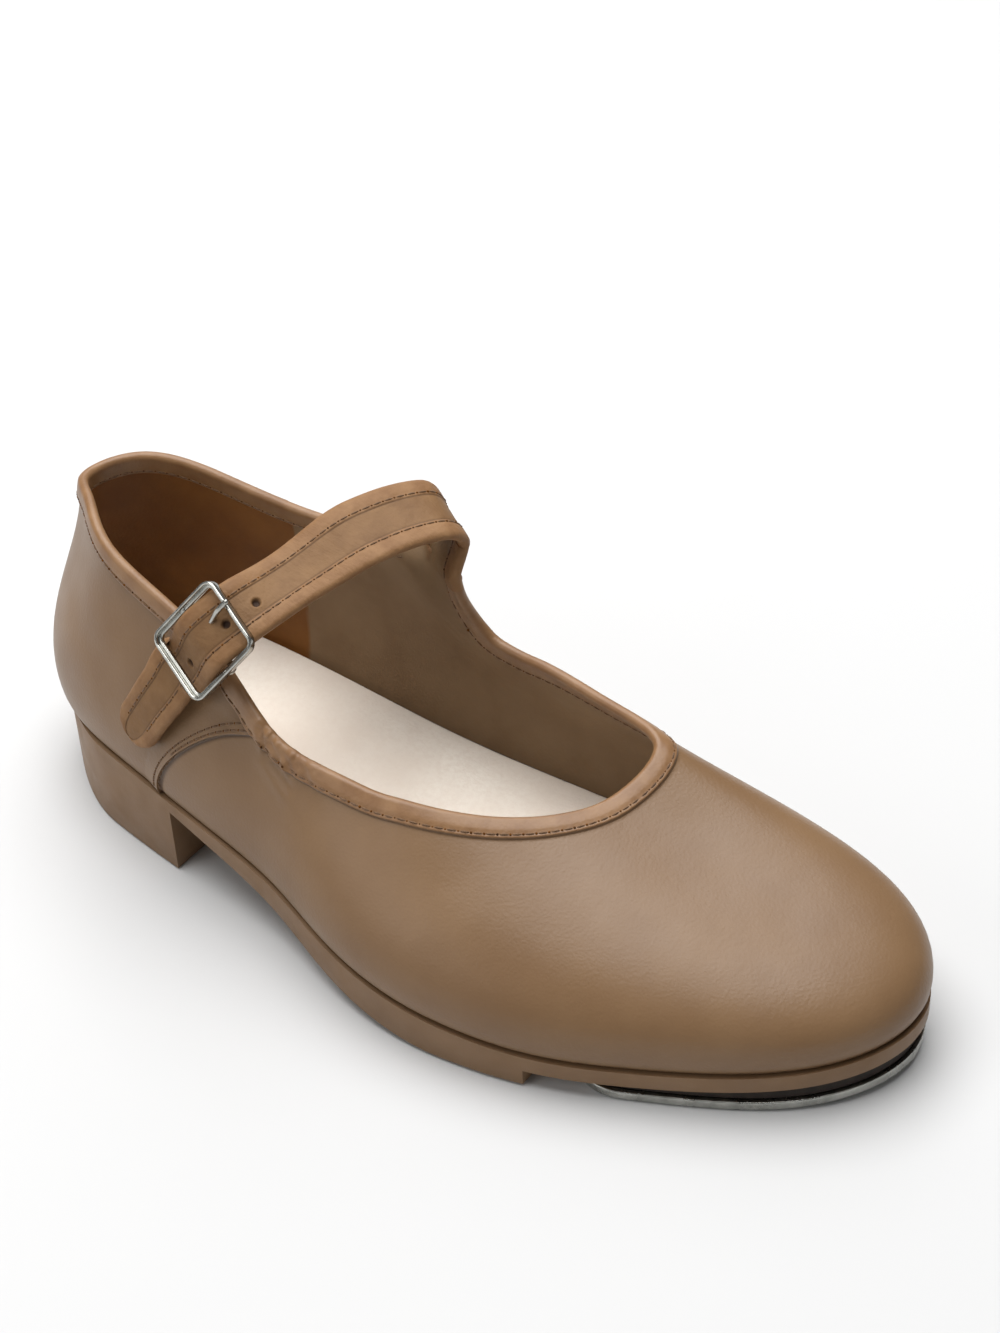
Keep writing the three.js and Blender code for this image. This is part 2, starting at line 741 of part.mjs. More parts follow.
// The buckle's frame has a raised rim and a lower ledge inside it. The pin bar dips under the strap.
const buckleWidth = strapBuckleWidth + 2 * (buckleSideClearance + buckleBarWidth);
function buckleFrameGeometry() {
  const [halfWidth, halfLength] = [buckleWidth / 2, buckleLength / 2];
  const inner = { x: halfWidth - buckleCorner, y: halfLength - buckleCorner };
  const cornerSteps = 5;
  const path = [];
  [[1, 1, 0], [-1, 1, 90], [-1, -1, 180], [1, -1, 270]].forEach(([x, y, start]) => {
    for (let k = 0; k <= cornerSteps; k += 1) {
      path.push({ x: x * inner.x, y: y * inner.y, angle: radians(start + (90 * k) / cornerSteps) });
    }
  });
  const rim = buckleBarWidth - buckleLedge;
  const soft = 0.25;
  const profile = [
    [0, soft], [soft, 0], [buckleBarWidth, 0], [buckleBarWidth, buckleBarHeight / 2],
    [rim, buckleBarHeight / 2], [rim, buckleBarHeight], [soft, buckleBarHeight], [0, buckleBarHeight - soft],
  ];
  const rings = path.map(({ x, y, angle }) => profile.map(([inward, up]) => {
    const reach = buckleCorner - inward;
    return new THREE.Vector3(x + Math.cos(angle) * reach, y + Math.sin(angle) * reach, barBottom + up);
  }));
  const sideAt = halfWidth - buckleBarWidth / 2;
  const drop = barBottom + buckleBarHeight / 2;
  const pin = rod([
    new THREE.Vector3(-sideAt, 0, drop),
    new THREE.Vector3(-sideAt, 0, (drop + pinUp) / 2),
    new THREE.Vector3(-sideAt + pinRadius, 0, pinUp),
    new THREE.Vector3(-sideAt + pinRadius * 3, 0, pinUp),
    new THREE.Vector3(sideAt - pinRadius * 3, 0, pinUp),
    new THREE.Vector3(sideAt - pinRadius, 0, pinUp),
    new THREE.Vector3(sideAt, 0, (drop + pinUp) / 2),
    new THREE.Vector3(sideAt, 0, drop),
  ], new THREE.Vector3(0, 1, 0), pinRadius);
  return toGeometry(toSolid(skin(rings, null)).add(toSolid(pin)));
}

// The prong hooks round the pin, comes up through the strap and rests on the far bar.
function prongGeometry() {
  const barTop = barBottom + buckleBarHeight + gap + prongRadius;
  const around = [230, 180, 130, 80].map((degrees) => {
    const angle = radians(degrees);
    return new THREE.Vector3(prongOffset, -Math.cos(angle) * prongHook, pinUp + Math.sin(angle) * prongHook);
  });
  return rod([
    ...around,
    new THREE.Vector3(prongOffset, -barAt * 0.5, mix(pinUp + prongHook, barTop, 0.55)),
    new THREE.Vector3(prongOffset, -barAt * 0.85, barTop),
    new THREE.Vector3(prongOffset, -barAt * 1.06, barTop),
  ], new THREE.Vector3(1, 0, 0), prongRadius);
}

// The tab is folded round the pin and sewn to the quarter under the strap's tail.
function tabGeometry() {
  const eye = new THREE.Shape().absarc(0, pinUp, loopRadius, 0, Math.PI * 2);
  eye.holes.push(new THREE.Path().absarc(0, pinUp, pinRadius + gap, 0, Math.PI * 2));
  const loop = new THREE.ExtrudeGeometry(eye, { depth: tabWidth, bevelEnabled: false, curveSegments: 10 });
  loop.translate(0, 0, -tabWidth / 2);
  const turn = new THREE.Matrix4().makeBasis(
    new THREE.Vector3(0, 1, 0),
    new THREE.Vector3(0, 0, 1),
    new THREE.Vector3(1, 0, 0),
  );
  loop.applyMatrix4(turn).applyMatrix4(buckleMatrix);
  const lift = tabInner + tabThickness / 2;
  const width = buckle.side.clone().negate();
  const route = [
    { point: atBuckle(0, pinRadius, lift), width },
    { point: atBuckle(0, loopRadius * 2, lift), width },
    tailStops(() => lift)[0],
  ];
  const [x, y] = [tabWidth / 2, tabThickness / 2];
  const outline = [[-x, -y], [x, -y], [x, y], [-x, y]].map(([across, up]) => new THREE.Vector2(across, up));
  const rings = follow(route, 12).map((frame) => outline.map((corner) => frame.point.clone()
    .addScaledVector(frame.width, corner.x)
    .addScaledVector(frame.face, corner.y)));
  const slot = new THREE.BoxGeometry(prongSlot, (prongHook + prongRadius + gap) * 2, prongHook * 4);
  slot.translate(prongOffset, 0, pinUp);
  return toGeometry(toSolid(loop)
    .add(toSolid(skin(rings, outline)))
    .subtract(toSolid(slot.applyMatrix4(buckleMatrix))));
}

const finishes = {
  leather: { color: 0xa58a6e, roughness: 0.42, metalness: 0 },
  strap: { color: 0xa08468, roughness: 0.5, metalness: 0 },
  sole: { color: 0x8c7258, roughness: 0.55, metalness: 0 },
  insole: { color: 0xc8b6a5, roughness: 0.8, metalness: 0 },
  metal: { color: 0xc8c9c6, roughness: 0.22, metalness: 1 },
  board: { color: 0x241c17, roughness: 0.8, metalness: 0 },
};

const shoe = new THREE.Group();
function addPiece(name, geometry, finish, matrix) {
  const mesh = new THREE.Mesh(geometry, new THREE.MeshStandardMaterial(finishes[finish]));
  mesh.name = name;
  if (matrix) mesh.applyMatrix4(matrix);
  shoe.add(mesh);
}

addPiece('upper', upperGeometry(), 'leather');
addPiece('unit_sole', soleGeometry(), 'sole');
addPiece('insole', insoleGeometry(), 'insole');
addPiece('strap', strapGeometry(), 'strap');
addPiece('toe_tap', toeTapGeometry(), 'metal');
addPiece('toe_tap_board', boardGeometry(), 'board');
addPiece('heel_tap', heelPlate(heelTapInset, 0, heelTapThickness), 'metal');
addPiece('buckle_frame', buckleFrameGeometry(), 'metal', buckleMatrix);
addPiece('buckle_tab', tabGeometry(), 'strap');
addPiece('buckle_prong', prongGeometry(), 'metal', buckleMatrix);

// The origin is on the floor, under the middle of the shoe.
const box = new THREE.Box3().setFromObject(shoe);
const middle = box.getCenter(new THREE.Vector3());
shoe.position.set(-middle.x, -middle.y, -box.min.z);

export default shoe;
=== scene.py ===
"""A right tap shoe in smooth tan leather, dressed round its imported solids. Metres, +Z up."""

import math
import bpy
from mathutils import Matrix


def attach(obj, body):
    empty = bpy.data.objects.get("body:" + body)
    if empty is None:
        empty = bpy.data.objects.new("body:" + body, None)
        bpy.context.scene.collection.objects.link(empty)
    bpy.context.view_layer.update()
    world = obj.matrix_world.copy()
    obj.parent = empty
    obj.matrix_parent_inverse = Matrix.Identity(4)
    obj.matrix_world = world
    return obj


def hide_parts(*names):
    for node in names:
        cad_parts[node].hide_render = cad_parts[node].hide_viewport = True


bl_info = {
    "name": "Tap shoe",
    "version": (1, 0, 0),
    "blender": (4, 5, 0),
    "location": "3D View > Sidebar > Shoe",
    "description": "Builds a buckled tap shoe from the sections of its last",
    "category": "Object",
}

import bpy
import numpy as np
from bpy.props import FloatProperty, FloatVectorProperty, PointerProperty
from mathutils import Matrix, Vector

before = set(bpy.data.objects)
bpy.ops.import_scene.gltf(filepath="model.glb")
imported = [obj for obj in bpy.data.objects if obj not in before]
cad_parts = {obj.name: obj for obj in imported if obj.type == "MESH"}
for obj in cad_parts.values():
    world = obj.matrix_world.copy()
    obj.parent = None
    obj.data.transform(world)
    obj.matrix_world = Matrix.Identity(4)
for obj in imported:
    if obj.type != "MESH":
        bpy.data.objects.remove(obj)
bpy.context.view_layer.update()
BODY = "root"
MM = 0.001

# Pieces and lines that one operator leaves for the next.
SHAPES = {}

# The last: where the back of its heel stands in the frame, and its driving sizes.
HEEL_BACK = np.array([5.147, 120.0, 0.0]) * MM
SHOE_LENGTH = 240 * MM
BALL_WIDTH = 84 * MM
HEEL_WIDTH = 57 * MM
COLLAR_HEIGHT = 80 * MM
THROAT_HEIGHT = 50 * MM
SEAT_HEIGHT = 25.6 * MM
FOREPART_HEIGHT = 9.6 * MM
TOE_SPRING = 4.6 * MM
SEAT_END = 14 * MM
ARCH_END = 179 * MM
SPRING_START = 174 * MM
WAIST = (0.152, 0.621)
INSTEP = (0.308, 0.517)

# Upper
WALL = 1.8 * MM
BINDING_WIDTH = 4.8 * MM
BINDING_RISE = 0.6 * MM
BINDING_INNER_RISE = 0.3 * MM
STITCH_PITCH = 2.9 * MM
STITCH_INSET = 0.9 * MM
LAP_RISE = 0.7 * MM
EAR_HEIGHT = 72 * MM
EAR_TURN = math.radians(32)
EAR_FILLET = 9 * MM
EAR_BACK_FILLET = 17 * MM
EAR_ALONG = 100 * MM

# Sole, taps, board and insole
SOLE_EDGE = 0.8 * MM
HEEL_TUCK = 2.4 * MM
TUCK_FADE = (10 * MM, 36 * MM)
HEEL_LENGTH = 60.5 * MM
HEEL_RIM_LIFT = 0.5 * MM
SHANK_THICKNESS = 3.6 * MM
TREAD_LIFT = 0.8 * MM
TREAD_START = 151 * MM
TREAD_END = 171 * MM
TOE_EDGE_THICKNESS = 4.6 * MM
TAP_THICKNESS = 2.8 * MM
TAP_BACK = 177 * MM
TAP_FLAT_END = 211 * MM
TAP_TIP_RISE = 2.2 * MM
TAP_INSET = 0.5 * MM
TAP_CORNER = 15 * MM
HEEL_TAP_INSET = 3.4 * MM
HEEL_TAP_THICKNESS = 2.4 * MM
HEEL_TAP_CORNER = 6 * MM
INSOLE_THICKNESS = 2 * MM
INSOLE_CLEARANCE = 0.7 * MM

# Strap and buckle
STRAP_WIDTH = 19 * MM
STRAP_BUCKLE_WIDTH = 15.8 * MM
STRAP_END_WIDTH = 13 * MM
STRAP_THICKNESS = 2 * MM
STRAP_HEM_WIDTH = 5.4 * MM
STRAP_HEM_RISE = 0.15 * MM
STRAP_STITCH_INSET = 0.8 * MM
STRAP_HEIGHT = 87 * MM
BUCKLE_STATION = 3.3
BUCKLE_LIFT = 7.4 * MM
BUCKLE_LEAN = math.radians(20)
BUCKLE_RAKE = math.radians(30)
BUCKLE_LENGTH = 23 * MM
BUCKLE_SIDE_CLEARANCE = 0.3 * MM
BUCKLE_BAR_WIDTH = 1.6 * MM
BUCKLE_BAR_HEIGHT = 2 * MM
BUCKLE_LEDGE = 0.8 * MM
BUCKLE_CORNER = 3 * MM
PIN_RADIUS = 0.8 * MM
PRONG_RADIUS = 0.65 * MM
PRONG_OFFSET = 1.9 * MM
TAB_WIDTH = 11 * MM
TAB_THICKNESS = 1 * MM
GAP = 0.3 * MM

# Sections of the upper round the feather line, from the back of the heel along the outer side to
# the toe and back. Lengths are shares: along of the shoe's length, across of the local width, top_up
# of the local topline height, pulls of the distance from feather to topline. Leans are in degrees.
STATION_COLUMNS = (
    "along", "across", "top_along", "top_across", "top_up", "foot_lean", "foot_pull", "top_lean", "top_pull",
)
STATION_ROWS = (
    (0.004, 0.000, 0.052, 0.000, 1.000, 18, 0.32, 6, 0.36),
    (0.043, -0.298, 0.093, -0.168, 1.022, 15, 0.30, 4, 0.35),
    (0.134, -0.502, 0.163, -0.342, 0.975, 13, 0.33, 5, 0.33),
    (0.264, -0.562, 0.279, -0.375, 0.856, 12, 0.34, 8, 0.29),
    (0.393, -0.546, 0.382, -0.423, 0.771, 14, 0.37, 10, 0.31),
    (0.512, -0.585, 0.472, -0.383, 0.961, 22, 0.33, 30, 0.28),
    (0.675, -0.555, 0.548, -0.310, 0.986, 25, 0.30, 50, 0.33),
    (0.808, -0.421, 0.615, -0.194, 0.932, 22, 0.29, 62, 0.42),
    (0.939, -0.207, 0.662, -0.054, 0.906, 20, 0.24, 68, 0.51),
    (0.998, 0.073, 0.684, 0.090, 0.920, 18, 0.25, 68, 0.51),
    (0.955, 0.318, 0.683, 0.249, 1.010, 21, 0.30, 64, 0.48),
    (0.839, 0.440, 0.607, 0.312, 1.020, 20, 0.26, 51, 0.32),
    (0.715, 0.446, 0.504, 0.360, 1.028, 20, 0.27, 30, 0.24),
    (0.572, 0.411, 0.423, 0.386, 0.905, 24, 0.32, 12, 0.25),
    (0.431, 0.397, 0.355, 0.398, 0.930, 24, 0.37, 8, 0.29),
    (0.298, 0.435, 0.269, 0.449, 0.881, 18, 0.36, 5, 0.32),
    (0.152, 0.449, 0.143, 0.386, 0.950, 12, 0.35, 5, 0.35),
    (0.041, 0.298, 0.071, 0.235, 0.994, 17, 0.33, 5, 0.37),
)
ROW_COUNT = len(STATION_ROWS)
FRONT_STATION = 9

# The quarter laps over the vamp along two seams: stations at the feather and at the topline.
SEAM_COLUMNS = ("foot", "top", "reach", "back")
OUTER_SEAM = dict(zip(SEAM_COLUMNS, (2.82, 4.05, 1.7, -1)))
INNER_SEAM = dict(zip(SEAM_COLUMNS, (15.35, 15.35, 1.6, 1)))
LAP_FADE = 0.55
SEAM_BOW = 1.7
SEAM_ROWS = (0.055, 0.145)

# The strap's course over the foot, with its turn and dip in degrees, and its tail on the outer
# quarter, by station and share.
ARCH_COLUMNS = ("along", "across", "up", "turn", "dip")
ARCH_ROWS = (
    (0.420, 0.360, 0.930, 32, 0),
    (0.418, 0.311, 1.000, 32, -12),
    (0.383, 0.116, 1.010, 24, -16),
    (0.351, -0.105, 0.950, 20, -15),
)
TAIL_ROWS = ((2.95, 0.82), (2.87, 0.67), (2.78, 0.53), (2.69, 0.40), (2.60, 0.28))

# Folds in the leather, each from one place on the upper to another, by station and share.
CREASE_COLUMNS = ("from_station", "from_share", "to_station", "to_share", "depth", "width")
CREASE_ROWS = (
    (3.90, 1.00, 3.99, 0.87, 0.75, 0.9),
    (4.02, 1.00, 4.04, 0.90, 0.60, 0.8),
    (4.06, 0.97, 4.20, 0.90, 0.85, 0.9),
    (4.17, 1.00, 4.22, 0.93, 0.55, 0.8),
    (4.24, 0.98, 4.36, 0.88, 0.70, 0.9),
    (4.37, 1.00, 4.42, 0.91, 0.40, 0.9),
    (4.46, 0.98, 4.60, 0.89, 0.35, 1.0),
    (3.98, 0.86, 4.36, 0.78, 0.45, 1.6),
    (3.62, 0.93, 3.40, 0.72, 0.30, 2.4),
    (4.40, 0.95, 4.62, 0.74, 0.22, 2.6),
    (5.60, 0.62, 6.40, 0.74, 0.16, 5.5),
    (12.30, 0.70, 12.90, 0.55, 0.25, 4.0),
    (13.10, 0.82, 13.60, 0.60, 0.30, 3.4),
    (1.30, 0.55, 2.30, 0.42, 0.22, 5.0),
    (16.10, 0.55, 16.90, 0.40, 0.22, 5.0),
)


def mix(a, b, t):
    return a + (b - a) * t


def clamp(x):
    return np.clip(x, 0.0, 1.0)


def ease(start, end, x):
    t = clamp((np.asarray(x, float) - start) / (end - start))
    return t * t * (3 - 2 * t)


def gauss(distance, width):
    return np.exp(-((distance / width) ** 2))


def unit(v):
    v = np.asarray(v, float)
    return v / np.maximum(np.linalg.norm(v, axis=-1, keepdims=True), 1e-12)


def to_frame(points):
    """From the last's own axes, with the heel's back at zero, to the frame's."""
    return np.asarray(points, float) + HEEL_BACK


# The last


def ring_spline(values):
    """A closed cubic spline through values spaced one apart."""
    values = np.asarray(values, float)
    count = len(values)
    eye = np.eye(count)
    weights = np.linalg.solve((4 * eye + np.roll(eye, 1, 0) + np.roll(eye, -1, 0)) / 6, values)

    def at(position):
        position = np.asarray(position, float)
        base = np.floor(position).astype(int)
        t = position - base
        w = [weights[(base + k) % count] for k in (-1, 0, 1, 2)]
        return (
            w[0] * (1 - t) ** 3
            + w[1] * (3 * t**3 - 6 * t**2 + 4)
            + w[2] * (-3 * t**3 + 3 * t**2 + 3 * t + 1)
            + w[3] * t**3
        ) / 6

    return at


COLUMN = {
    name: ring_spline([row[k] for row in STATION_ROWS])
    for k, name in enumerate(STATION_COLUMNS)
}


def width_at(share):
    return mix(HEEL_WIDTH, BALL_WIDTH, ease(*WAIST, share))


def feather_up(along):
    """Height of the feather line: flat at the seat, down the arch, and up again to the toe."""
    drop = clamp((along - SEAT_END) / (ARCH_END - SEAT_END))
    arch = (1 + np.cos(np.pi * drop)) / 2
    spring = np.maximum(along - SPRING_START, 0) / (SHOE_LENGTH - SPRING_START)
    return FOREPART_HEIGHT + (SEAT_HEIGHT - FOREPART_HEIGHT) * arch + TOE_SPRING * spring**2


def foot_point(u):
    share = COLUMN["along"](u)
    along = share * SHOE_LENGTH
    return np.stack([COLUMN["across"](u) * width_at(share), -along, feather_up(along)], -1)


def outward(u):
    """The level direction out of the shoe at a station."""
    step = 0.01
    run = foot_point(u + step) - foot_point(u - step)
    return unit(np.stack([run[..., 1], -run[..., 0], np.zeros(run.shape[:-1])], -1))


def topline_point(u):
    share = COLUMN["top_along"](u)
    height = mix(COLLAR_HEIGHT, THROAT_HEIGHT, ease(*INSTEP, share))
    across, up = COLUMN["top_across"](u) * width_at(share), COLUMN["top_up"](u) * height
    return np.stack([across, -share * SHOE_LENGTH, up], -1)


def base_curve(u):
    """The four points of the curve from the feather up to the topline."""
    u = np.asarray(u, float)
    foot, top, out = foot_point(u), topline_point(u), outward(u)
    up = np.array([0.0, 0.0, 1.0])
    span = np.linalg.norm(foot - top, axis=-1)[..., None]
    foot_lean = np.radians(COLUMN["foot_lean"](u))[..., None]
    top_lean = np.radians(COLUMN["top_lean"](u))[..., None]
    foot_reach = COLUMN["foot_pull"](u)[..., None] * span
    top_reach = COLUMN["top_pull"](u)[..., None] * span
    minimum_out = 6 * MM
    towards = unit((foot - top) * np.array([1, 1, 0]) + out * minimum_out)
    lower = foot + (up * np.cos(foot_lean) + out * np.sin(foot_lean)) * foot_reach
    upper = top + (towards * np.sin(top_lean) - up * np.cos(top_lean)) * top_reach
    return np.stack([foot, lower, upper, top], -2)


def bezier(curve, t):
    """Points of curves with shape (..., 4, 3) at t with shape (..., n)."""
    t = t[..., None]
    a, b, c, d = (curve[..., k, None, :] for k in range(4))
    return a * (1 - t) ** 3 + b * 3 * t * (1 - t) ** 2 + c * 3 * t**2 * (1 - t) + d * t**3


def curve_lengths(curve, samples=48):
    t = np.broadcast_to(np.linspace(0, 1, samples + 1), curve.shape[:-2] + (samples + 1,))
    steps = np.linalg.norm(np.diff(bezier(curve, t), axis=-2), axis=-1)
    return np.concatenate([np.zeros(steps.shape[:-1] + (1,)), np.cumsum(steps, -1)], -1)


def ear_point(u, height):
    """Over the topline the face goes straight up, and turns with the strap."""
    curve = base_curve(u)
    top = curve[..., 3, :]
    step = 0.02
    climb = unit(top - curve[..., 2, :])
    run = topline_point(u + step) - topline_point(u - step)
    climb = climb - run * (climb[..., 1] / run[..., 1])[..., None]
    full = EAR_HEIGHT - top[..., 2]
    lean = climb[..., 0] / climb[..., 2] * full * height * (1 - height)
    turned = math.tan(EAR_TURN) * (-top[..., 1] - EAR_ALONG) * ease(0, 1, height)
    return np.stack([top[..., 0] + lean - turned, top[..., 1], top[..., 2] + full * height], -1)


def surface_point(u, share):
    """A point of the upper's outer face, by station and by share of the section's length."""
    u, share = np.broadcast_arrays(np.asarray(u, float), np.asarray(share, float))
    shape = u.shape
    u, share = u.ravel(), share.ravel()
    points = np.empty((u.size, 3))
    chunk = 20000
    for start in range(0, u.size, chunk):
        part = slice(start, start + chunk)
        curve = base_curve(u[part])
        lengths = curve_lengths(curve)
        wanted = clamp(share[part]) * lengths[:, -1]
        k = np.clip((lengths < wanted[:, None]).sum(1) - 1, 0, lengths.shape[1] - 2)
        rows = np.arange(len(k))
        low, high = lengths[rows, k], lengths[rows, k + 1]
        t = (k + (wanted - low) / np.maximum(high - low, 1e-12)) / (lengths.shape[1] - 1)
        points[part] = bezier(curve, t[:, None])[:, 0]
    above = share > 1
    if above.any():
        points[above] = ear_point(u[above], share[above] - 1)
    return points.reshape(shape + (3,))


def ear_at(along, half):
    """The ear's height as a share, from its flat top down both fillets."""
    beyond = np.abs(along - EAR_ALONG) - half
    ahead = (1 - np.sqrt(clamp(beyond / EAR_FILLET))) ** 2
    behind = (1 - clamp(beyond / EAR_BACK_FILLET)) ** 2
    return np.where(along < EAR_ALONG, behind, ahead)


def surface_normal(u, share):
    """The direction out of the upper's outer face."""
    step = 0.02
    side = surface_point(u + step, share) - surface_point(u - step, share)
    high = min(share + step, 1.0) if share <= 1 else share
    low = max(min(share, high) - step, 0.0)
    climb = surface_point(u, high) - surface_point(u, low)
    return unit(np.cross(side, climb))


# Meshes


def deselect_all():
    if bpy.context.object and bpy.context.object.mode != "OBJECT":
        bpy.ops.object.mode_set(mode="OBJECT")
    bpy.ops.object.select_all(action="DESELECT")


def make_active(piece):
    deselect_all()
    piece.select_set(True)
    bpy.context.view_layer.objects.active = piece


def grid_piece(name, points, wrap_rings=False, wrap_section=False, masks=None):
    """A grid primitive whose vertices are laid on points, shaped (rings, section, 3), in the frame.
    Where it wraps, the last ring or section point repeats the first and is merged with it."""
    points = np.asarray(points, float)
    masks = {key: np.asarray(value, float) for key, value in (masks or {}).items()}
    if wrap_rings:
        points = np.concatenate([points, points[:1]], 0)
        masks = {key: np.concatenate([value, value[:1]], 0) for key, value in masks.items()}
    if wrap_section:
        points = np.concatenate([points, points[:, :1]], 1)
        masks = {key: np.concatenate([value, value[:, :1]], 1) for key, value in masks.items()}
    rings, section = points.shape[:2]
    deselect_all()
    bpy.ops.mesh.primitive_grid_add(x_subdivisions=section - 1, y_subdivisions=rings - 1, size=1)
    piece = bpy.context.object
    piece.name = piece.data.name = name
    if len(piece.data.vertices) != rings * section:
        raise RuntimeError(f"{name}: the grid doesn't have {rings * section} vertices")
    piece.data.vertices.foreach_set("co", points.reshape(-1))
    for key, value in masks.items():
        layer = piece.data.attributes.new(key, "FLOAT", "POINT")
        layer.data.foreach_set("value", value.reshape(-1).astype(np.float32))
    if wrap_rings or wrap_section:
        merge_and_face_out(piece)
    return piece


def merge_and_face_out(piece, distance=1e-6):
    make_active(piece)
    bpy.ops.object.mode_set(mode="EDIT")
    bpy.ops.mesh.select_all(action="SELECT")
    bpy.ops.mesh.remove_doubles(threshold=distance)
    bpy.ops.mesh.normals_make_consistent(inside=False)
    bpy.ops.object.mode_set(mode="OBJECT")


def close_ends(piece):
    """Fills the open ends of a tube and turns its faces out."""
    make_active(piece)
    bpy.ops.object.mode_set(mode="EDIT")
    bpy.ops.mesh.select_all(action="DESELECT")
    bpy.ops.mesh.select_non_manifold()
    bpy.ops.mesh.edge_face_add()
    bpy.ops.mesh.select_all(action="SELECT")
    bpy.ops.mesh.normals_make_consistent(inside=False)
    bpy.ops.object.mode_set(mode="OBJECT")


def finish_piece(piece, material, slot, *nodes, angle=40):
    """Smooths a piece, gives it its finish, and lets it ride in place of its CAD nodes."""
    make_active(piece)
    bpy.ops.object.shade_smooth_by_angle(angle=math.radians(angle))
    piece.data.materials.clear()
    piece.data.materials.append(material)
    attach(piece, BODY)
    if nodes:
        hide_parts(*nodes)
    return piece


def join_pieces(pieces, name):
    deselect_all()
    for piece in pieces:
        piece.select_set(True)
    bpy.context.view_layer.objects.active = pieces[0]
    bpy.ops.object.join()
    joined = bpy.context.object
    joined.name = joined.data.name = name
    return joined


def apply_modifiers(piece):
    make_active(piece)
    for modifier in list(piece.modifiers):
        bpy.ops.object.modifier_apply(modifier=modifier.name)


def bevel_edges(piece, width, segments=3, angle=35):
    make_active(piece)
    bpy.ops.object.modifier_add(type="BEVEL")
    bevel = piece.modifiers[-1]
    bevel.width = width
    bevel.segments = segments
    bevel.limit_method = "ANGLE"
    bevel.angle_limit = math.radians(angle)
    bevel.harden_normals = False
    apply_modifiers(piece)


def catmull(points, t, centripetal=True):
    """Points of an open Catmull-Rom curve at shares t of its number of spans."""
    points = np.asarray(points, float)
    spans = len(points) - 1
    place = np.clip(np.asarray(t, float), 0, 1) * spans
    k = np.minimum(np.floor(place).astype(int), spans - 1)
    w = (place - k)[:, None]
    padded = np.concatenate([[2 * points[0] - points[1]], points, [2 * points[-1] - points[-2]]], 0)
    p0, p1, p2, p3 = (padded[k + j] for j in range(4))
    if centripetal:
        pairs = ((p0, p1), (p1, p2), (p2, p3))
        d0, d1, d2 = (np.maximum(np.linalg.norm(b - a, axis=1), 1e-9)[:, None] ** 0.5 for a, b in pairs)
        t1 = ((p1 - p0) / d0 - (p2 - p0) / (d0 + d1) + (p2 - p1) / d1) * d1
        t2 = ((p2 - p1) / d1 - (p3 - p1) / (d1 + d2) + (p3 - p2) / d2) * d1
    else:
        t1, t2 = (p2 - p0) / 2, (p3 - p1) / 2
    return p1 + t1 * w + (3 * (p2 - p1) - 2 * t1 - t2) * w**2 + (2 * (p1 - p2) + t1 + t2) * w**3


def even_course(points, widths, steps):
    """Even sections along a course: place, width direction, face direction and share."""
    dense = np.linspace(0, 1, 2001)
    line = catmull(points, dense)
    lengths = np.concatenate([[0], np.cumsum(np.linalg.norm(np.diff(line, axis=0), axis=1))])
    share = np.linspace(0, 1, steps + 1)
    t = np.interp(share * lengths[-1], lengths, dense)
    place = catmull(points, t)
    nudge = 1e-4
    run = unit(catmull(points, t + nudge) - catmull(points, t - nudge))
    width = catmull(widths, t, centripetal=False)
    width = unit(width - run * (width * run).sum(1, keepdims=True))
    face = np.cross(run, width)
    return {"share": share, "place": place, "width": width, "face": face, "length": lengths[-1]}


def sweep(course, outlines):
    """Sections laid across a course. The outlines have shape (rings, n, 2): across and out."""
    return (
        course["place"][:, None]
        + course["width"][:, None] * outlines[..., :1]
        + course["face"][:, None] * outlines[..., 1:]
    )


def rod(name, points, square, radius, sides=16, steps_each=10):
    """A round rod along points that lie in one plane, given the direction square to it."""
    steps = (len(points) - 1) * steps_each
    t = np.linspace(0, 1, steps + 1)
    line = catmull(points, t)
    run = unit(np.gradient(line, axis=0))
    lift = unit(np.cross(run, square))
    angle = np.linspace(0, 2 * np.pi, sides, endpoint=False)
    across = np.cos(angle)[None, :, None] * np.asarray(square)
    rings = line[:, None] + radius * (across + np.sin(angle)[None, :, None] * lift[:, None])
    first, last = line[:1, None].repeat(sides, 1), line[-1:, None].repeat(sides, 1)
    tip = radius * 0.6
    pointed = np.concatenate([first - run[0] * tip, rings, last + run[-1] * tip], 0)
    return grid_piece(name, to_frame(pointed), wrap_section=True)


def plan_outline(beyond, tuck=0.0):
    """The outline in plan at a distance beyond the feather line, tucked in round the heel's back."""
    samples = 1440
    u = np.arange(samples) / samples * ROW_COUNT
    foot = foot_point(u)
    tucked = tuck * (1 - ease(*TUCK_FADE, -foot[:, 1]))
    points = foot + outward(u) * (beyond - tucked)[:, None]
    along, across = -points[:, 1], points[:, 0]
    back = int(along.argmin())
    along, across = np.roll(along, -back), np.roll(across, -back)
    front = int(along.argmax())
    outer = (along[: front + 1], across[: front + 1])
    inner = (np.append(along[front:], along[0])[::-1], np.append(across[front:], across[0])[::-1])
    return {"back": along[0], "front": along[front], "sides": (outer, inner)}


def sides_at(outline, along):
    """Where an outline's outer and inner sides stand across the shoe."""
    return [np.interp(along, *side) for side in outline["sides"]]


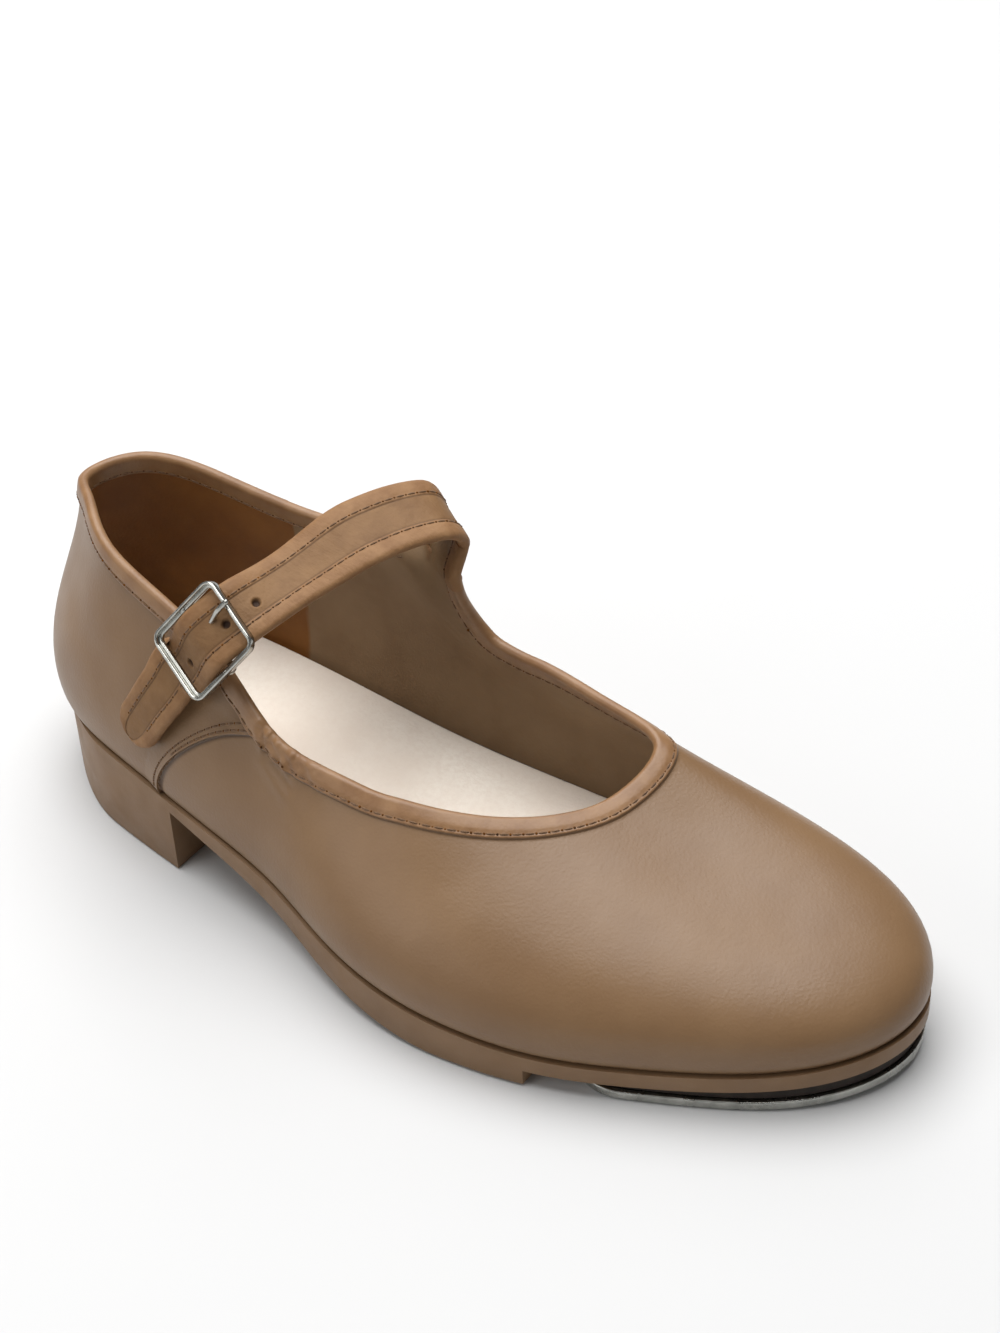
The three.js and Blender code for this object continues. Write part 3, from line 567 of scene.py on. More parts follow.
def plate(name, outline, start, end, bottom, top, corner=0.0, soft=(0.0, 0.0), slices=140, crown=0.0):
    """A plate between two heights inside an outline, with its square ends' corners rounded and its
    lower and upper edges softened."""
    tip = 0.004
    t = mix(tip, 1 - tip, np.linspace(0, 1, slices + 1))
    along = mix(start, end, (1 - np.cos(np.pi * t)) / 2)
    left, right = sides_at(outline, along)

    def round_at(distance):
        inside = np.maximum(corner - distance, 0)
        return corner - np.sqrt(np.maximum(corner**2 - inside**2, 0))

    pull = np.zeros_like(along)
    if corner and end < outline["front"]:
        pull = np.maximum(pull, round_at(end - along))
    if corner and start > outline["back"]:
        pull = np.maximum(pull, round_at(along - start))
    left, right = left + pull, right - pull
    low, high = bottom(along), top(along)
    half = (right - left) / 2
    middle = (right + left) / 2
    lower_edge, upper_edge = [], []
    for radius, edge in zip(soft, (lower_edge, upper_edge)):
        cut = np.minimum(radius, half * 0.6)
        for angle in np.linspace(0, np.pi / 2, 5 if radius else 1):
            sine, cosine = np.sin(angle), np.cos(angle)
            if edge is lower_edge:
                edge.append((half - cut + cut * sine, low + cut - cut * cosine))
            else:
                edge.append((half - cut + cut * cosine, high - cut + cut * sine))
    inner_shares = (0.8, 0.5, 0.2)
    swell = crown * ease(0, 12 * MM, half)
    top_inner = [(half * share, high + swell * (1 - share**2)) for share in inner_shares]
    bottom_inner = [(half * share, low) for share in reversed(inner_shares)]
    right_side = bottom_inner + lower_edge + upper_edge + top_inner
    ring = [(middle + across, height) for across, height in right_side]
    ring += [(middle - across, height) for across, height in reversed(right_side)]
    points = np.stack([np.stack([x, -along, z], -1) for x, z in ring], 1)
    piece = grid_piece(name, to_frame(points), wrap_section=True)
    close_ends(piece)
    return piece


# Finishes


class Finish:
    """One material's nodes, laid by the steps that all the materials share."""

    def __init__(self, name, roughness, metallic=0.0, coat=0.0, sheen=0.0, specular=0.5):
        self.material = bpy.data.materials.new(name)
        self.material.use_nodes = True
        self.nodes = self.material.node_tree.nodes
        self.links = self.material.node_tree.links
        self.principled = self.nodes["Principled BSDF"]
        self.set("Roughness", roughness)
        self.set("Metallic", metallic)
        self.set("Coat Weight", coat)
        self.set("Coat Roughness", 0.35)
        self.set("Sheen Weight", sheen)
        self.set("Specular IOR Level", specular)

    def feed(self, target, value):
        """Gives an input a socket to follow, or a value."""
        if isinstance(value, bpy.types.NodeSocket):
            self.links.new(value, target)
        else:
            target.default_value = value

    def set(self, name, value):
        self.feed(self.principled.inputs[name], value)

    def add(self, kind, output, **inputs):
        """Adds a node, feeds its inputs by name, and returns one output."""
        node = self.nodes.new(kind)
        for name, value in inputs.items():
            self.feed(node.inputs[name.replace("_", " ")], value)
        return node.outputs[output]

    def place(self):
        """The piece's own coordinates, in metres."""
        return self.add("ShaderNodeTexCoord", "Object")

    def noise(self, scale, detail=3.0, roughness=0.55, stretch=None):
        """Noise on the piece's own place, in features per metre."""
        source = self.place()
        if stretch:
            source = self.add("ShaderNodeMapping", "Vector", Vector=source, Scale=stretch)
        values = {"Vector": source, "Scale": scale, "Detail": detail, "Roughness": roughness}
        return self.add("ShaderNodeTexNoise", "Fac", **values)

    def ramp(self, source, low, high, bottom=0.0, top=1.0):
        """Stretches a socket's values from low and high to bottom and top."""
        values = {"Value": source, "From_Min": low, "From_Max": high, "To_Min": bottom, "To_Max": top}
        return self.add("ShaderNodeMapRange", "Result", **values)

    def blend(self, factor, first, second):
        """Mixes two colours, each a socket or a value, by a socket."""
        node = self.nodes.new("ShaderNodeMix")
        node.data_type = "RGBA"
        self.feed(node.inputs[0], factor)
        for target, tint in ((node.inputs[6], first), (node.inputs[7], second)):
            is_socket = isinstance(tint, bpy.types.NodeSocket)
            self.feed(target, tint if is_socket else (*tint, 1.0))
        return node.outputs[2]

    def clouds(self, first, second, scale, detail=3.0, high=0.7):
        """Soft clouds of a second colour on the first."""
        return self.blend(self.ramp(self.noise(scale, detail), 0.35, high), first, second)

    def mask(self, name):
        """A mask that the mesh carries."""
        node = self.nodes.new("ShaderNodeAttribute")
        node.attribute_name = name
        return node.outputs["Fac"]

    def maths(self, operation, a, b):
        node = self.nodes.new("ShaderNodeMath")
        node.operation = operation
        self.feed(node.inputs[0], a)
        self.feed(node.inputs[1], b)
        return node.outputs[0]

    def bump(self, *layers):
        """Stacks bumps, each a height socket with its strength and distance."""
        normal = None
        for height, strength, distance in layers:
            node = self.nodes.new("ShaderNodeBump")
            node.inputs["Strength"].default_value = strength
            node.inputs["Distance"].default_value = distance
            self.links.new(height, node.inputs["Height"])
            if normal:
                self.links.new(normal, node.inputs["Normal"])
            normal = node.outputs["Normal"]
        self.set("Normal", normal)

    def grain(self):
        """Fine pebbled grain: small cells and still finer noise."""
        cells = self.nodes.new("ShaderNodeTexVoronoi")
        cells.feature = "SMOOTH_F1"
        self.feed(cells.inputs["Scale"], 1500.0)
        self.feed(cells.inputs["Vector"], self.place())
        return cells.outputs["Distance"], self.noise(700.0, 4.0, 0.6)


def leather_material():
    colours = bpy.context.scene.tap_shoe.colours
    leather = Finish("upper_leather", 0.42, coat=0.1, specular=0.38)
    body = leather.clouds(colours.leather, colours.leather_deep, 38.0, high=0.68)
    speck = leather.ramp(leather.noise(900.0, 2.0), 0.3, 0.75, 0.0, 0.16)
    body = leather.blend(speck, body, colours.leather_deep)
    binding = leather.clouds(colours.binding, colours.binding_deep, 170.0)
    outer = leather.blend(leather.mask("binding"), body, binding)
    lining_cloud = leather.ramp(leather.noise(60.0, 4.0), 0.3, 0.7)
    lining = leather.blend(lining_cloud, colours.lining, colours.lining_deep)
    front = leather.blend(lining_cloud, colours.lining_front, colours.lining_front_deep)
    lining = leather.blend(leather.mask("forepart"), lining, front)
    whole = leather.blend(leather.mask("lining"), outer, lining)
    # Painted shade: the shade mask darkens the grooves, seam laps, feather line and binding edge.
    leather.set("Base Color", leather.blend(leather.mask("shade"), whole, colours.shade))
    smooth = leather.ramp(leather.noise(55.0), 0.3, 0.7, 0.37, 0.46)
    duller = leather.maths("MULTIPLY", leather.mask("lining"), 0.35)
    leather.set("Roughness", leather.maths("ADD", smooth, duller))
    cells, fine = leather.grain()
    wave = leather.noise(60.0, 2.0)
    leather.bump((wave, 0.10, 0.002), (fine, 0.10, 0.0004), (cells, 0.16, 0.00025))
    return leather.material


def strap_material():
    colours = bpy.context.scene.tap_shoe.colours
    strap = Finish("strap_leather", 0.6, coat=0.02, specular=0.22)
    cloud = strap.ramp(strap.noise(150.0, 4.0), 0.35, 0.68)
    body = strap.blend(cloud, colours.strap, colours.strap_deep)
    body = strap.blend(strap.mask("root"), body, colours.leather)
    hem = strap.clouds(colours.binding, colours.binding_deep, 220.0)
    whole = strap.blend(strap.mask("binding"), body, hem)
    under = strap.blend(cloud, colours.lining_front, colours.lining_front_deep)
    whole = strap.blend(strap.mask("lining"), whole, under)
    # Painted shade: the shade mask darkens the holes and the hems' edge grooves.
    strap.set("Base Color", strap.blend(strap.mask("shade"), whole, colours.shade))
    cells, fine = strap.grain()
    wave = strap.noise(260.0)
    folds = strap.noise(800.0, 3.0, 0.6, (1.0, 0.22, 0.5))
    strap.bump((wave, 0.28, 0.0012), (folds, 0.35, 0.0006), (fine, 0.14, 0.0004), (cells, 0.2, 0.00025))
    return strap.material


def sole_material():
    colours = bpy.context.scene.tap_shoe.colours
    sole = Finish("sole_moulding", 0.5, specular=0.4)
    body = sole.clouds(colours.sole, colours.sole_deep, 45.0)
    scuff = sole.ramp(sole.noise(320.0, 5.0, 0.7, (1, 1, 3)), 0.58, 0.75, 0.0, 0.25)
    sole.set("Base Color", sole.blend(scuff, body, colours.sole_deep))
    sole.set("Roughness", sole.ramp(sole.noise(120.0), 0.3, 0.7, 0.42, 0.6))
    sole.bump((sole.noise(90.0), 0.1, 0.001), (sole.noise(1400.0), 0.12, 0.0003))
    return sole.material


def insole_material():
    colours = bpy.context.scene.tap_shoe.colours
    cloth = Finish("insole_cloth", 0.85, sheen=0.1, specular=0.2)
    body = cloth.clouds(colours.insole, colours.insole_deep, 30.0, 4.0)
    fleck = cloth.ramp(cloth.noise(650.0, 4.0, 0.7), 0.42, 0.66, 0.0, 0.55)
    cloth.set("Base Color", cloth.blend(fleck, body, colours.insole_deep))
    cloth.bump((cloth.noise(240.0), 0.2, 0.001), (cloth.noise(1100.0), 0.35, 0.0004))
    return cloth.material


def metal_material(name, roughness, dents=0.0):
    colours = bpy.context.scene.tap_shoe.colours
    metal = Finish(name, roughness, metallic=1.0)
    metal.set("Base Color", metal.clouds(colours.metal, colours.metal_deep, 260.0, 4.0))
    rub = metal.ramp(metal.noise(180.0), 0.3, 0.75, roughness, roughness + 0.1)
    metal.set("Roughness", rub)
    if dents:
        metal.bump((metal.noise(260.0, 2.0), dents, 0.0002))
    return metal.material


# Painted shade: the board's near-black colour stands for the shadow in the gap between the sole's toe and the
# tap.
def gap_shade_board_material():
    colours = bpy.context.scene.tap_shoe.colours
    board = Finish("board", 0.7, specular=0.3)
    board.set("Base Color", board.clouds(colours.board, colours.gap_shade_board_deep, 400.0, 4.0))
    board.bump((board.noise(1200.0), 0.25, 0.0004))
    return board.material


# Painted shade: the near-black colour of the sunk dots that stand for the needle holes.
def needle_hole_shade_material():
    colours = bpy.context.scene.tap_shoe.colours
    hole = Finish("needle_hole_shade", 0.8, specular=0.1)
    hole.set("Base Color", hole.clouds(colours.shade, colours.lining_deep, 500.0, 2.0))
    return hole.material


def thread_material():
    colours = bpy.context.scene.tap_shoe.colours
    thread = Finish("thread", 0.62, sheen=0.1, specular=0.35)
    thread.set("Base Color", thread.clouds(colours.thread, colours.thread_deep, 2600.0, 2.0))
    thread.bump((thread.noise(4200.0, 2.0), 0.3, 0.0002))
    return thread.material


# The upper


def seam_shift(seam, c, share):
    """How far a seam's slant and bow move a column's station on the way down to the feather."""
    blend = np.maximum(0, 1 - np.abs(c - seam["top"]) / seam["reach"])
    return blend * (seam["foot"] - seam["top"]) * (1 - np.clip(share, 0, 1) ** SEAM_BOW)


def spot(c, share):
    """The station of a column at a share of its height."""
    return c + seam_shift(OUTER_SEAM, c, share) + seam_shift(INNER_SEAM, c, share)


EDGE_ROLL = (BINDING_RISE + WALL + BINDING_INNER_RISE) / 2
CREST_INSET = EDGE_ROLL - BINDING_RISE
EAR_HALF = (STRAP_WIDTH / 2 - EDGE_ROLL) * math.cos(EAR_TURN)
LINING_JOINT = 56 * MM


def inner_station(along):
    """Stations of the inner topline at distances from the back of the heel."""
    u = np.linspace(FRONT_STATION, ROW_COUNT, 4001)
    return np.interp(-np.asarray(along), -(COLUMN["top_along"](u) * SHOE_LENGTH), u)


def upper_stations():
    """Stations of the upper's columns: even ones, with more beside the seams and the ear."""
    flat = np.linspace(-1, 1, 33) * EAR_HALF
    spread = np.linspace(0, 1, 30)[1:] ** 2
    behind = -EAR_HALF - EAR_BACK_FILLET * spread[::-1]
    ear = inner_station(EAR_ALONG + np.concatenate([behind, flat, EAR_HALF + EAR_FILLET * spread]))
    even = np.arange(0, ROW_COUNT, 0.03)
    clear = even[(even < ear.min() - 0.01) | (even > ear.max() + 0.01)]
    near = np.concatenate([-np.geomspace(0.1, 0.002, 12), np.geomspace(0.002, 0.1, 12)])
    seams = np.concatenate([seam["top"] + near for seam in (OUTER_SEAM, INNER_SEAM)])
    folded = np.arange(3.86, 4.72, 0.012)
    stations = np.unique(np.round(np.concatenate([clear, ear, seams, folded]), 5))
    return stations[np.append(True, np.diff(stations) > 4e-4)]


def lap_at(seam, c):
    """The quarter's raised edge behind a seam, with a fine groove just before it."""
    behind = (c - seam["top"]) * seam["back"]
    step = ease(-0.004, 0.01, behind)
    fading = np.maximum(0, 1 - np.maximum(behind, 0) / LAP_FADE)
    groove = -0.22 * gauss(behind + 0.012, 0.014)
    lip = 0.16 * gauss(behind - 0.022, 0.022)
    return LAP_RISE * (step * fading + groove + lip)


def crease_lift(points):
    """Soft troughs, each with a low ridge along both sides."""
    lift = np.zeros(points.shape[:-1])
    for row in CREASE_ROWS:
        fold = dict(zip(CREASE_COLUMNS, row))
        start = surface_point(fold["from_station"], fold["from_share"])
        end = surface_point(fold["to_station"], fold["to_share"])
        span = end - start
        along = ((points - start) @ span) / (span @ span)
        nearest = start + np.clip(along, 0, 1)[..., None] * span
        away = np.linalg.norm(points - nearest, axis=-1) / (fold["width"] * MM)
        ends = ease(-0.35, 0.25, along) * (1 - ease(0.75, 1.35, along))
        shape = np.exp(-(away**2)) - 0.45 * np.exp(-((away - 1.9) ** 2) * 1.2)
        lift -= fold["depth"] * MM * shape * ends
    return lift


def boundary_frame(line, normals, climb):
    """Directions off the topline, square to it and in the face."""
    run = unit(np.roll(line, -1, 0) - np.roll(line, 1, 0))
    off = unit(np.cross(run, normals))
    return np.where((off * climb).sum(1, keepdims=True) < 0, -off, off)


def distance_to(points, line):
    """From points, shaped (columns, section, 3), to the nearest of a line's runs."""
    between = np.linspace(0, 1, 4, endpoint=False)[:, None, None]
    steps = np.diff(line, axis=0)
    short = np.linalg.norm(steps, axis=1) < 6 * MM
    dense = (line[:-1][short] + steps[short] * between).reshape(-1, 3)
    return np.stack([np.linalg.norm(column[:, None] - dense[None], axis=2).min(1) for column in points])


def upper_shape():
    """Points of the upper's closed sections with its masks, and the topline's own lines."""
    c = upper_stations()
    plain = curve_lengths(base_curve(c))[:, -1]
    top = topline_point(c)
    full = np.maximum(EAR_HEIGHT - top[:, 2], BINDING_WIDTH)
    on_inner = c > FRONT_STATION
    rise = np.where(on_inner, ear_at(-top[:, 1], EAR_HALF), 0.0)
    length = plain + full * rise - CREST_INSET

    def face_point(distances):
        over = distances > plain[:, None]
        share = np.where(over, 1 + (distances - plain[:, None]) / full[:, None], distances / plain[:, None])
        return surface_point(spot(c[:, None], share), share)

    # The edge that is bound is the topline without the ear's top, under the strap.
    flat = on_inner & (np.abs(-top[:, 1] - EAR_ALONG) < EAR_HALF - 1e-6)
    first, last = (int(k) for k in np.flatnonzero(flat)[[0, -1]])
    crest_line = face_point(length[:, None])[:, 0]
    rim = np.concatenate([crest_line[last + 1 :], crest_line[:first]])
    bound_width = BINDING_WIDTH - CREST_INSET
    trial = np.linspace(0, 2.6 * bound_width, 24)
    away = distance_to(face_point(length[:, None] - trial[None]), rim)
    reach = [float(np.interp(bound_width, np.maximum.accumulate(row), trial)) for row in away]
    hem = length - np.clip(reach, bound_width, 2.2 * bound_width)
    face = np.linspace(0, 1, 50) ** 0.9 * 0.985
    edge = np.array([-0.45, -0.2, -0.05, 0.1, 0.3, 0.6]) * MM
    bound = np.linspace(0.25, 1, 6)
    over_hem = mix(hem[:, None], length[:, None], bound)
    distances = np.concatenate([hem[:, None] * face, hem[:, None] + edge, over_hem], 1)
    distances = np.maximum.accumulate(distances, 1)
    base = face_point(distances)
    around = np.roll(base, -1, 0) - np.roll(base, 1, 0)
    climb = np.gradient(base, axis=1)
    normal = unit(np.cross(around, climb))
    line, line_normal, line_climb = base[:, -1], normal[:, -1], unit(climb[:, -1])
    off = boundary_frame(line, line_normal, line_climb)

    from_edge = distance_to(base, rim)
    binding = 1 - ease(bound_width - 0.25 * MM, bound_width + 0.3 * MM, from_edge)
    s = np.concatenate([[0], np.cumsum(np.linalg.norm(np.diff(line, axis=0), axis=1))])[:, None]
    stitch_pull = gauss(from_edge - bound_width + STITCH_INSET, 0.5 * MM)
    pucker = (0.05 * MM * np.sin(2 * np.pi * s / STITCH_PITCH) - 0.16 * MM) * stitch_pull
    crown = 0.18 * MM * np.sin(np.pi * clamp(from_edge / bound_width)) * binding
    lap = (lap_at(OUTER_SEAM, c) + lap_at(INNER_SEAM, c))[:, None]
    under_binding = 1 - 0.9 * (1 - ease(bound_width - 1.5 * MM, bound_width + 2.5 * MM, from_edge))
    outer_lift = BINDING_RISE * binding + lap * under_binding + pucker + crown
    outer_lift += crease_lift(base)
    tuck = ease(0, 1.2 * MM, distances)
    outer_lift -= 0.35 * MM * (1 - tuck)

    # Behind the ear, under the strap, the lining runs up to the edge without a binding.
    past_ear = -top[:, 1] - EAR_ALONG
    before_ear = on_inner * ease(-EAR_HALF - 15 * MM, -EAR_HALF - 9 * MM, past_ear)
    bare = (before_ear * (1 - ease(-EAR_HALF, -EAR_HALF * 0.4, past_ear)))[:, None]
    inside_binding = binding * (1 - bare)
    inner_lift = -WALL - BINDING_INNER_RISE * inside_binding - 0.10 * MM * stitch_pull * (1 - bare)
    outer = base + normal * outer_lift[..., None]
    inner = base + normal * inner_lift[..., None]
    top_binding = binding[:, -1:]
    outer_top, inner_top = outer_lift[:, -1:], inner_lift[:, -1:]
    radius = (outer_top - inner_top) / 2
    centre = (outer_top + inner_top) / 2
    angle = np.linspace(0, np.pi, 11)[1:-1]
    crest = (
        line[:, None]
        + off[:, None] * (radius * np.sin(angle))[..., None]
        + line_normal[:, None] * (centre + radius * np.cos(angle))[..., None]
    )
    keep = np.r_[0:50:2, 50 : base.shape[1]]
    inner = inner[:, keep][:, ::-1]
    points = np.concatenate([outer, crest, inner], 1)
    inner_binding = inside_binding[:, keep][:, ::-1]
    crest_binding = np.repeat(top_binding, len(angle), 1)
    ahead = ease(LINING_JOINT - 0.4 * MM, LINING_JOINT + 0.4 * MM, -inner[..., 1])
    # Painted shade: the shade mask is darker in the groove before each seam's lap, along the feather line
    # over the sole, and just below the binding's lower edge.
    behind_seams = [(c - seam["top"]) * seam["back"] for seam in (OUTER_SEAM, INNER_SEAM)]
    seam_shade = sum(gauss(behind + 0.010, 0.012) for behind in behind_seams)[:, None]
    feather_shade = 0.5 * (1 - ease(0, 1.6 * MM, distances))
    hem_shade = 0.55 * gauss(from_edge - bound_width - 0.15 * MM, 0.22 * MM)
    shade_outer = np.clip(seam_shade * 0.8 * (1 - binding) + feather_shade + hem_shade, 0, 1)
    no_outer, no_crest, no_inner = (np.zeros_like(x) for x in (binding, crest_binding, inner_binding))
    masks = {
        "binding": np.concatenate([binding, crest_binding, inner_binding], 1),
        "lining": np.concatenate([no_outer, no_crest, 1 - inner_binding], 1),
        "forepart": np.concatenate([no_outer, no_crest, ahead], 1),
        "shade": np.concatenate([shade_outer, no_crest, no_inner], 1),
    }
    lines = {"c": c, "line": line, "normal": line_normal, "off": off, "flat": flat}
    return points, masks, lines


class SHOE_OT_upper(bpy.types.Operator):
    """Builds the bound upper with its lapped seams, creases and lining"""

    bl_idname = "shoe.upper"
    bl_label = "Upper"

    def execute(self, context):
        points, masks, lines = upper_shape()
        piece = grid_piece("upper_leather", to_frame(points), True, True, masks)
        finish_piece(piece, leather_material(), "upper_leather", "upper", angle=75)
        SHAPES["upper"] = piece
        SHAPES["topline"] = lines
        return {"FINISHED"}


# The stitches


def stitch_row(surface, path, pitch, length, lift):
    """Places of stitches along a path laid on a surface: centre, run and face directions, and lift."""
    found = []
    steps = np.linalg.norm(np.diff(path, axis=0), axis=1)
    lengths = np.concatenate([[0], np.cumsum(steps)])
    count = int(lengths[-1] / pitch)
    at = (np.arange(count) + 0.5) * pitch
    centres, ahead, behind = (
        np.stack([np.interp(at + shift, lengths, path[:, k]) for k in range(3)], 1)
        for shift in (0, length / 4, -length / 4)
    )
    for centre, run in zip(centres, ahead - behind):
        hit, place, normal, _ = surface.closest_point_on_mesh(Vector(centre))
        if not hit or (place - Vector(centre)).length > 3 * MM:
            continue
        found.append((np.array(place), unit(run), np.array(normal), lift))
    return found


def stitches(name, rows, length, radius, shift=0.0):
    """One mesh of small rounded stitches, modelled once and copied along every row."""
    deselect_all()
    bpy.ops.mesh.primitive_uv_sphere_add(segments=8, ring_count=5, radius=1)
    model = bpy.context.object
    shape = np.array([v.co for v in model.data.vertices])
    faces = [list(face.vertices) for face in model.data.polygons]
    bpy.data.objects.remove(model)
    lengthened = shape * np.array([length / 2, radius, radius])
    lengthened[:, 2] -= radius * 0.5 * (np.abs(shape[:, 0]) ** 3)
    places = [stitch for row in rows for stitch in row]
    vertices, polygons = [], []
    for k, (centre, run, normal, lift) in enumerate(places):
        side = unit(np.cross(normal, run))
        run = np.cross(side, normal)
        laid = lengthened @ np.stack([run, side, normal])
        vertices.append(laid + centre + run * shift + normal * lift)
        polygons += [[i + k * len(shape) for i in face] for face in faces]
    mesh = bpy.data.meshes.new(name)
    mesh.from_pydata(np.concatenate(vertices).tolist(), [], polygons)
    piece = bpy.data.objects.new(name, mesh)
    bpy.context.collection.objects.link(piece)
    return piece


def topline_path(lines, inward, inside):
    """The topline moved down the face by a distance, in two runs that end at the ear's top."""
    path = lines["line"] - lines["off"] * inward
    path = path - lines["normal"] * (WALL if inside else 0.0)
    first, last = (int(k) for k in np.flatnonzero(lines["flat"])[[0, -1]])
    if inside:
        bare = lines["c"] < inner_station(EAR_ALONG - EAR_HALF - 13 * MM)
        last = int(np.flatnonzero(bare)[-1])
    return to_frame(np.concatenate([path[last + 1 :], path[:first]], 0))


def seam_path(seam, behind):
    """A line behind a seam's edge, in stations, from over the feather to under the binding."""
    share = np.linspace(0.03, 0.9, 160)
    c = seam["top"] + behind * seam["back"]
    return to_frame(surface_point(spot(np.full_like(share, c), share), share))


class SHOE_OT_stitches(bpy.types.Operator):
    """Sews the binding, the seams and the strap's edges"""

    bl_idname = "shoe.stitches"
    bl_label = "Stitches"

    def execute(self, context):
        sizes = context.scene.tap_shoe.sizes
        upper, strap = SHAPES["upper"], SHAPES["strap"]
        pitch, length, radius = sizes.stitch_pitch, sizes.stitch_length, sizes.thread_radius
        inward = BINDING_WIDTH - CREST_INSET - STITCH_INSET
        outer_row = topline_path(SHAPES["topline"], inward, False)
        inner_row = topline_path(SHAPES["topline"], inward + 0.2 * MM, True)
        seam_rows = [seam_path(seam, behind) for seam in (OUTER_SEAM, INNER_SEAM) for behind in SEAM_ROWS]
        rows = [stitch_row(upper, path, pitch, length, radius * 0.25) for path in (outer_row, inner_row)]
        closer = 0.85
        rows += [stitch_row(upper, path, pitch * closer, length * closer, radius * 0.2) for path in seam_rows]
        rows += [stitch_row(strap, path, pitch, length, radius * 0.25) for path in SHAPES["strap_rows"]]
        piece = stitches("stitching", rows, length, radius)
        finish_piece(piece, thread_material(), "strap_leather")
        # The needle holes are dark dots sunk between the stitches: painted shade in each hole.
        hole_radius = radius * 1.25
        sunk = [[(place, run, normal, -radius * 0.55) for place, run, normal, _ in row] for row in rows]
        hole_shade = stitches("needle_hole_shade", sunk, hole_radius * 2.4, hole_radius, pitch / 2)
        finish_piece(hole_shade, needle_hole_shade_material(), "strap_leather")
        return {"FINISHED"}


# The strap and its buckle

STRIP_HALF = STRAP_THICKNESS / 2 + STRAP_HEM_RISE
TAB_INNER = BINDING_RISE + GAP
PIN_UP = TAB_INNER + TAB_THICKNESS + GAP + PIN_RADIUS
PRONG_HOOK = PIN_RADIUS + GAP + PRONG_RADIUS
STRAP_OVER_PIN = PIN_UP + PRONG_HOOK + PRONG_RADIUS + GAP + STRIP_HALF
STRAP_UNDER_BAR = TAB_INNER + TAB_THICKNESS + GAP + STRIP_HALF
BAR_BOTTOM = STRAP_UNDER_BAR + STRIP_HALF + GAP * 3.2
BAR_AT = (BUCKLE_LENGTH - BUCKLE_BAR_WIDTH) / 2


def turned(vector, axis, angle):
    """A vector turned round an axis."""
    return np.array(Matrix.Rotation(angle, 3, Vector(axis)) @ Vector(vector))


def buckle_place():
    """The buckle's centre and its axes: across towards the heel, down the strap, and out."""
    top = surface_point(BUCKLE_STATION, 1.0)
    climb = unit(top - surface_point(BUCKLE_STATION, 1 - BINDING_WIDTH / COLLAR_HEIGHT))
    wall_out = surface_normal(BUCKLE_STATION, 1.0)
    level = unit(np.cross(wall_out, [0, 0, 1]))
    wall_down = turned(np.cross(wall_out, level), wall_out, -BUCKLE_RAKE)
    side = np.cross(wall_down, wall_out)
    out = turned(wall_out, side, BUCKLE_LEAN)
    down = turned(wall_down, side, BUCKLE_LEAN)
    return top + climb * BUCKLE_LIFT, side, down, out


BUCKLE_CENTRE, BUCKLE_SIDE, BUCKLE_DOWN, BUCKLE_OUT = buckle_place()


def at_buckle(side, down, out):
    """A point in the buckle's own axes."""
    side, down, out = (np.asarray(x, float)[..., None] for x in (side, down, out))
    return BUCKLE_CENTRE + BUCKLE_SIDE * side + BUCKLE_DOWN * down + BUCKLE_OUT * out


def tail_stops(lift_at):
    """Stops down the outer quarter at a lift from its face, with the direction across."""
    before = BUCKLE_CENTRE
    stops = []
    for k, (station, share) in enumerate(TAIL_ROWS):
        point = surface_point(station, share)
        out = surface_normal(station, share)
        down = point - before
        before = point
        stops.append((point + out * lift_at(k), unit(np.cross(out, down))))
    return stops


def toeward(turn, dip):
    """The direction across the strap, towards the toe, from its turn and dip in degrees."""
    turn, dip = math.radians(turn), math.radians(dip)
    return np.array([-math.sin(turn) * math.cos(dip), -math.cos(turn) * math.cos(dip), math.sin(dip)])


def strap_course(steps):
    """The strap from inside the ear's top, over the foot, through the buckle, to the tail's tip."""
    root = float(inner_station(EAR_ALONG))
    turn = math.degrees(EAR_TURN)
    start_up, below_start = 0.72, 0.6
    face = np.array([math.cos(EAR_TURN), -math.sin(EAR_TURN), 0.0])
    seat = surface_point(root, 2.0) - face * WALL / 2
    ear_side = surface_point(root, 1 + start_up)
    ear_face = unit(np.cross(toeward(turn, 0), ear_side - surface_point(root, 1 + below_start)))
    ear_face = ear_face if ear_face @ face > 0 else -ear_face
    start = ear_side - ear_face * WALL / 2
    low_turn = math.degrees(math.atan(math.tan(EAR_TURN) * float(ease(0, 1, start_up))))
    stops = [(start, toeward(low_turn, 0)), (seat, toeward(turn, 0))]
    for row in ARCH_ROWS:
        field = dict(zip(ARCH_COLUMNS, row))
        across, along = field["across"] * BALL_WIDTH, field["along"] * SHOE_LENGTH
        place = np.array([across, -along, field["up"] * STRAP_HEIGHT])
        stops.append((place, toeward(field["turn"], field["dip"])))
    width = -BUCKLE_SIDE
    stops += [
        (at_buckle(0, -BAR_AT * 0.9, STRAP_UNDER_BAR), width),
        (at_buckle(0, 0, STRAP_OVER_PIN), width),
        (at_buckle(0, BAR_AT * 0.82, STRAP_UNDER_BAR), width),
        (at_buckle(0, BAR_AT * 1.12, STRAP_UNDER_BAR - GAP * 3), width),
    ]
    under_bar, on_quarter, tip = STRAP_UNDER_BAR + GAP * 1.8, STRIP_HALF + GAP * 2, len(TAIL_ROWS) - 1
    stops += tail_stops(lambda k: mix(under_bar, on_quarter, float(ease(1, tip, k))))
    places, widths = zip(*stops)
    return even_course(places, widths, steps)


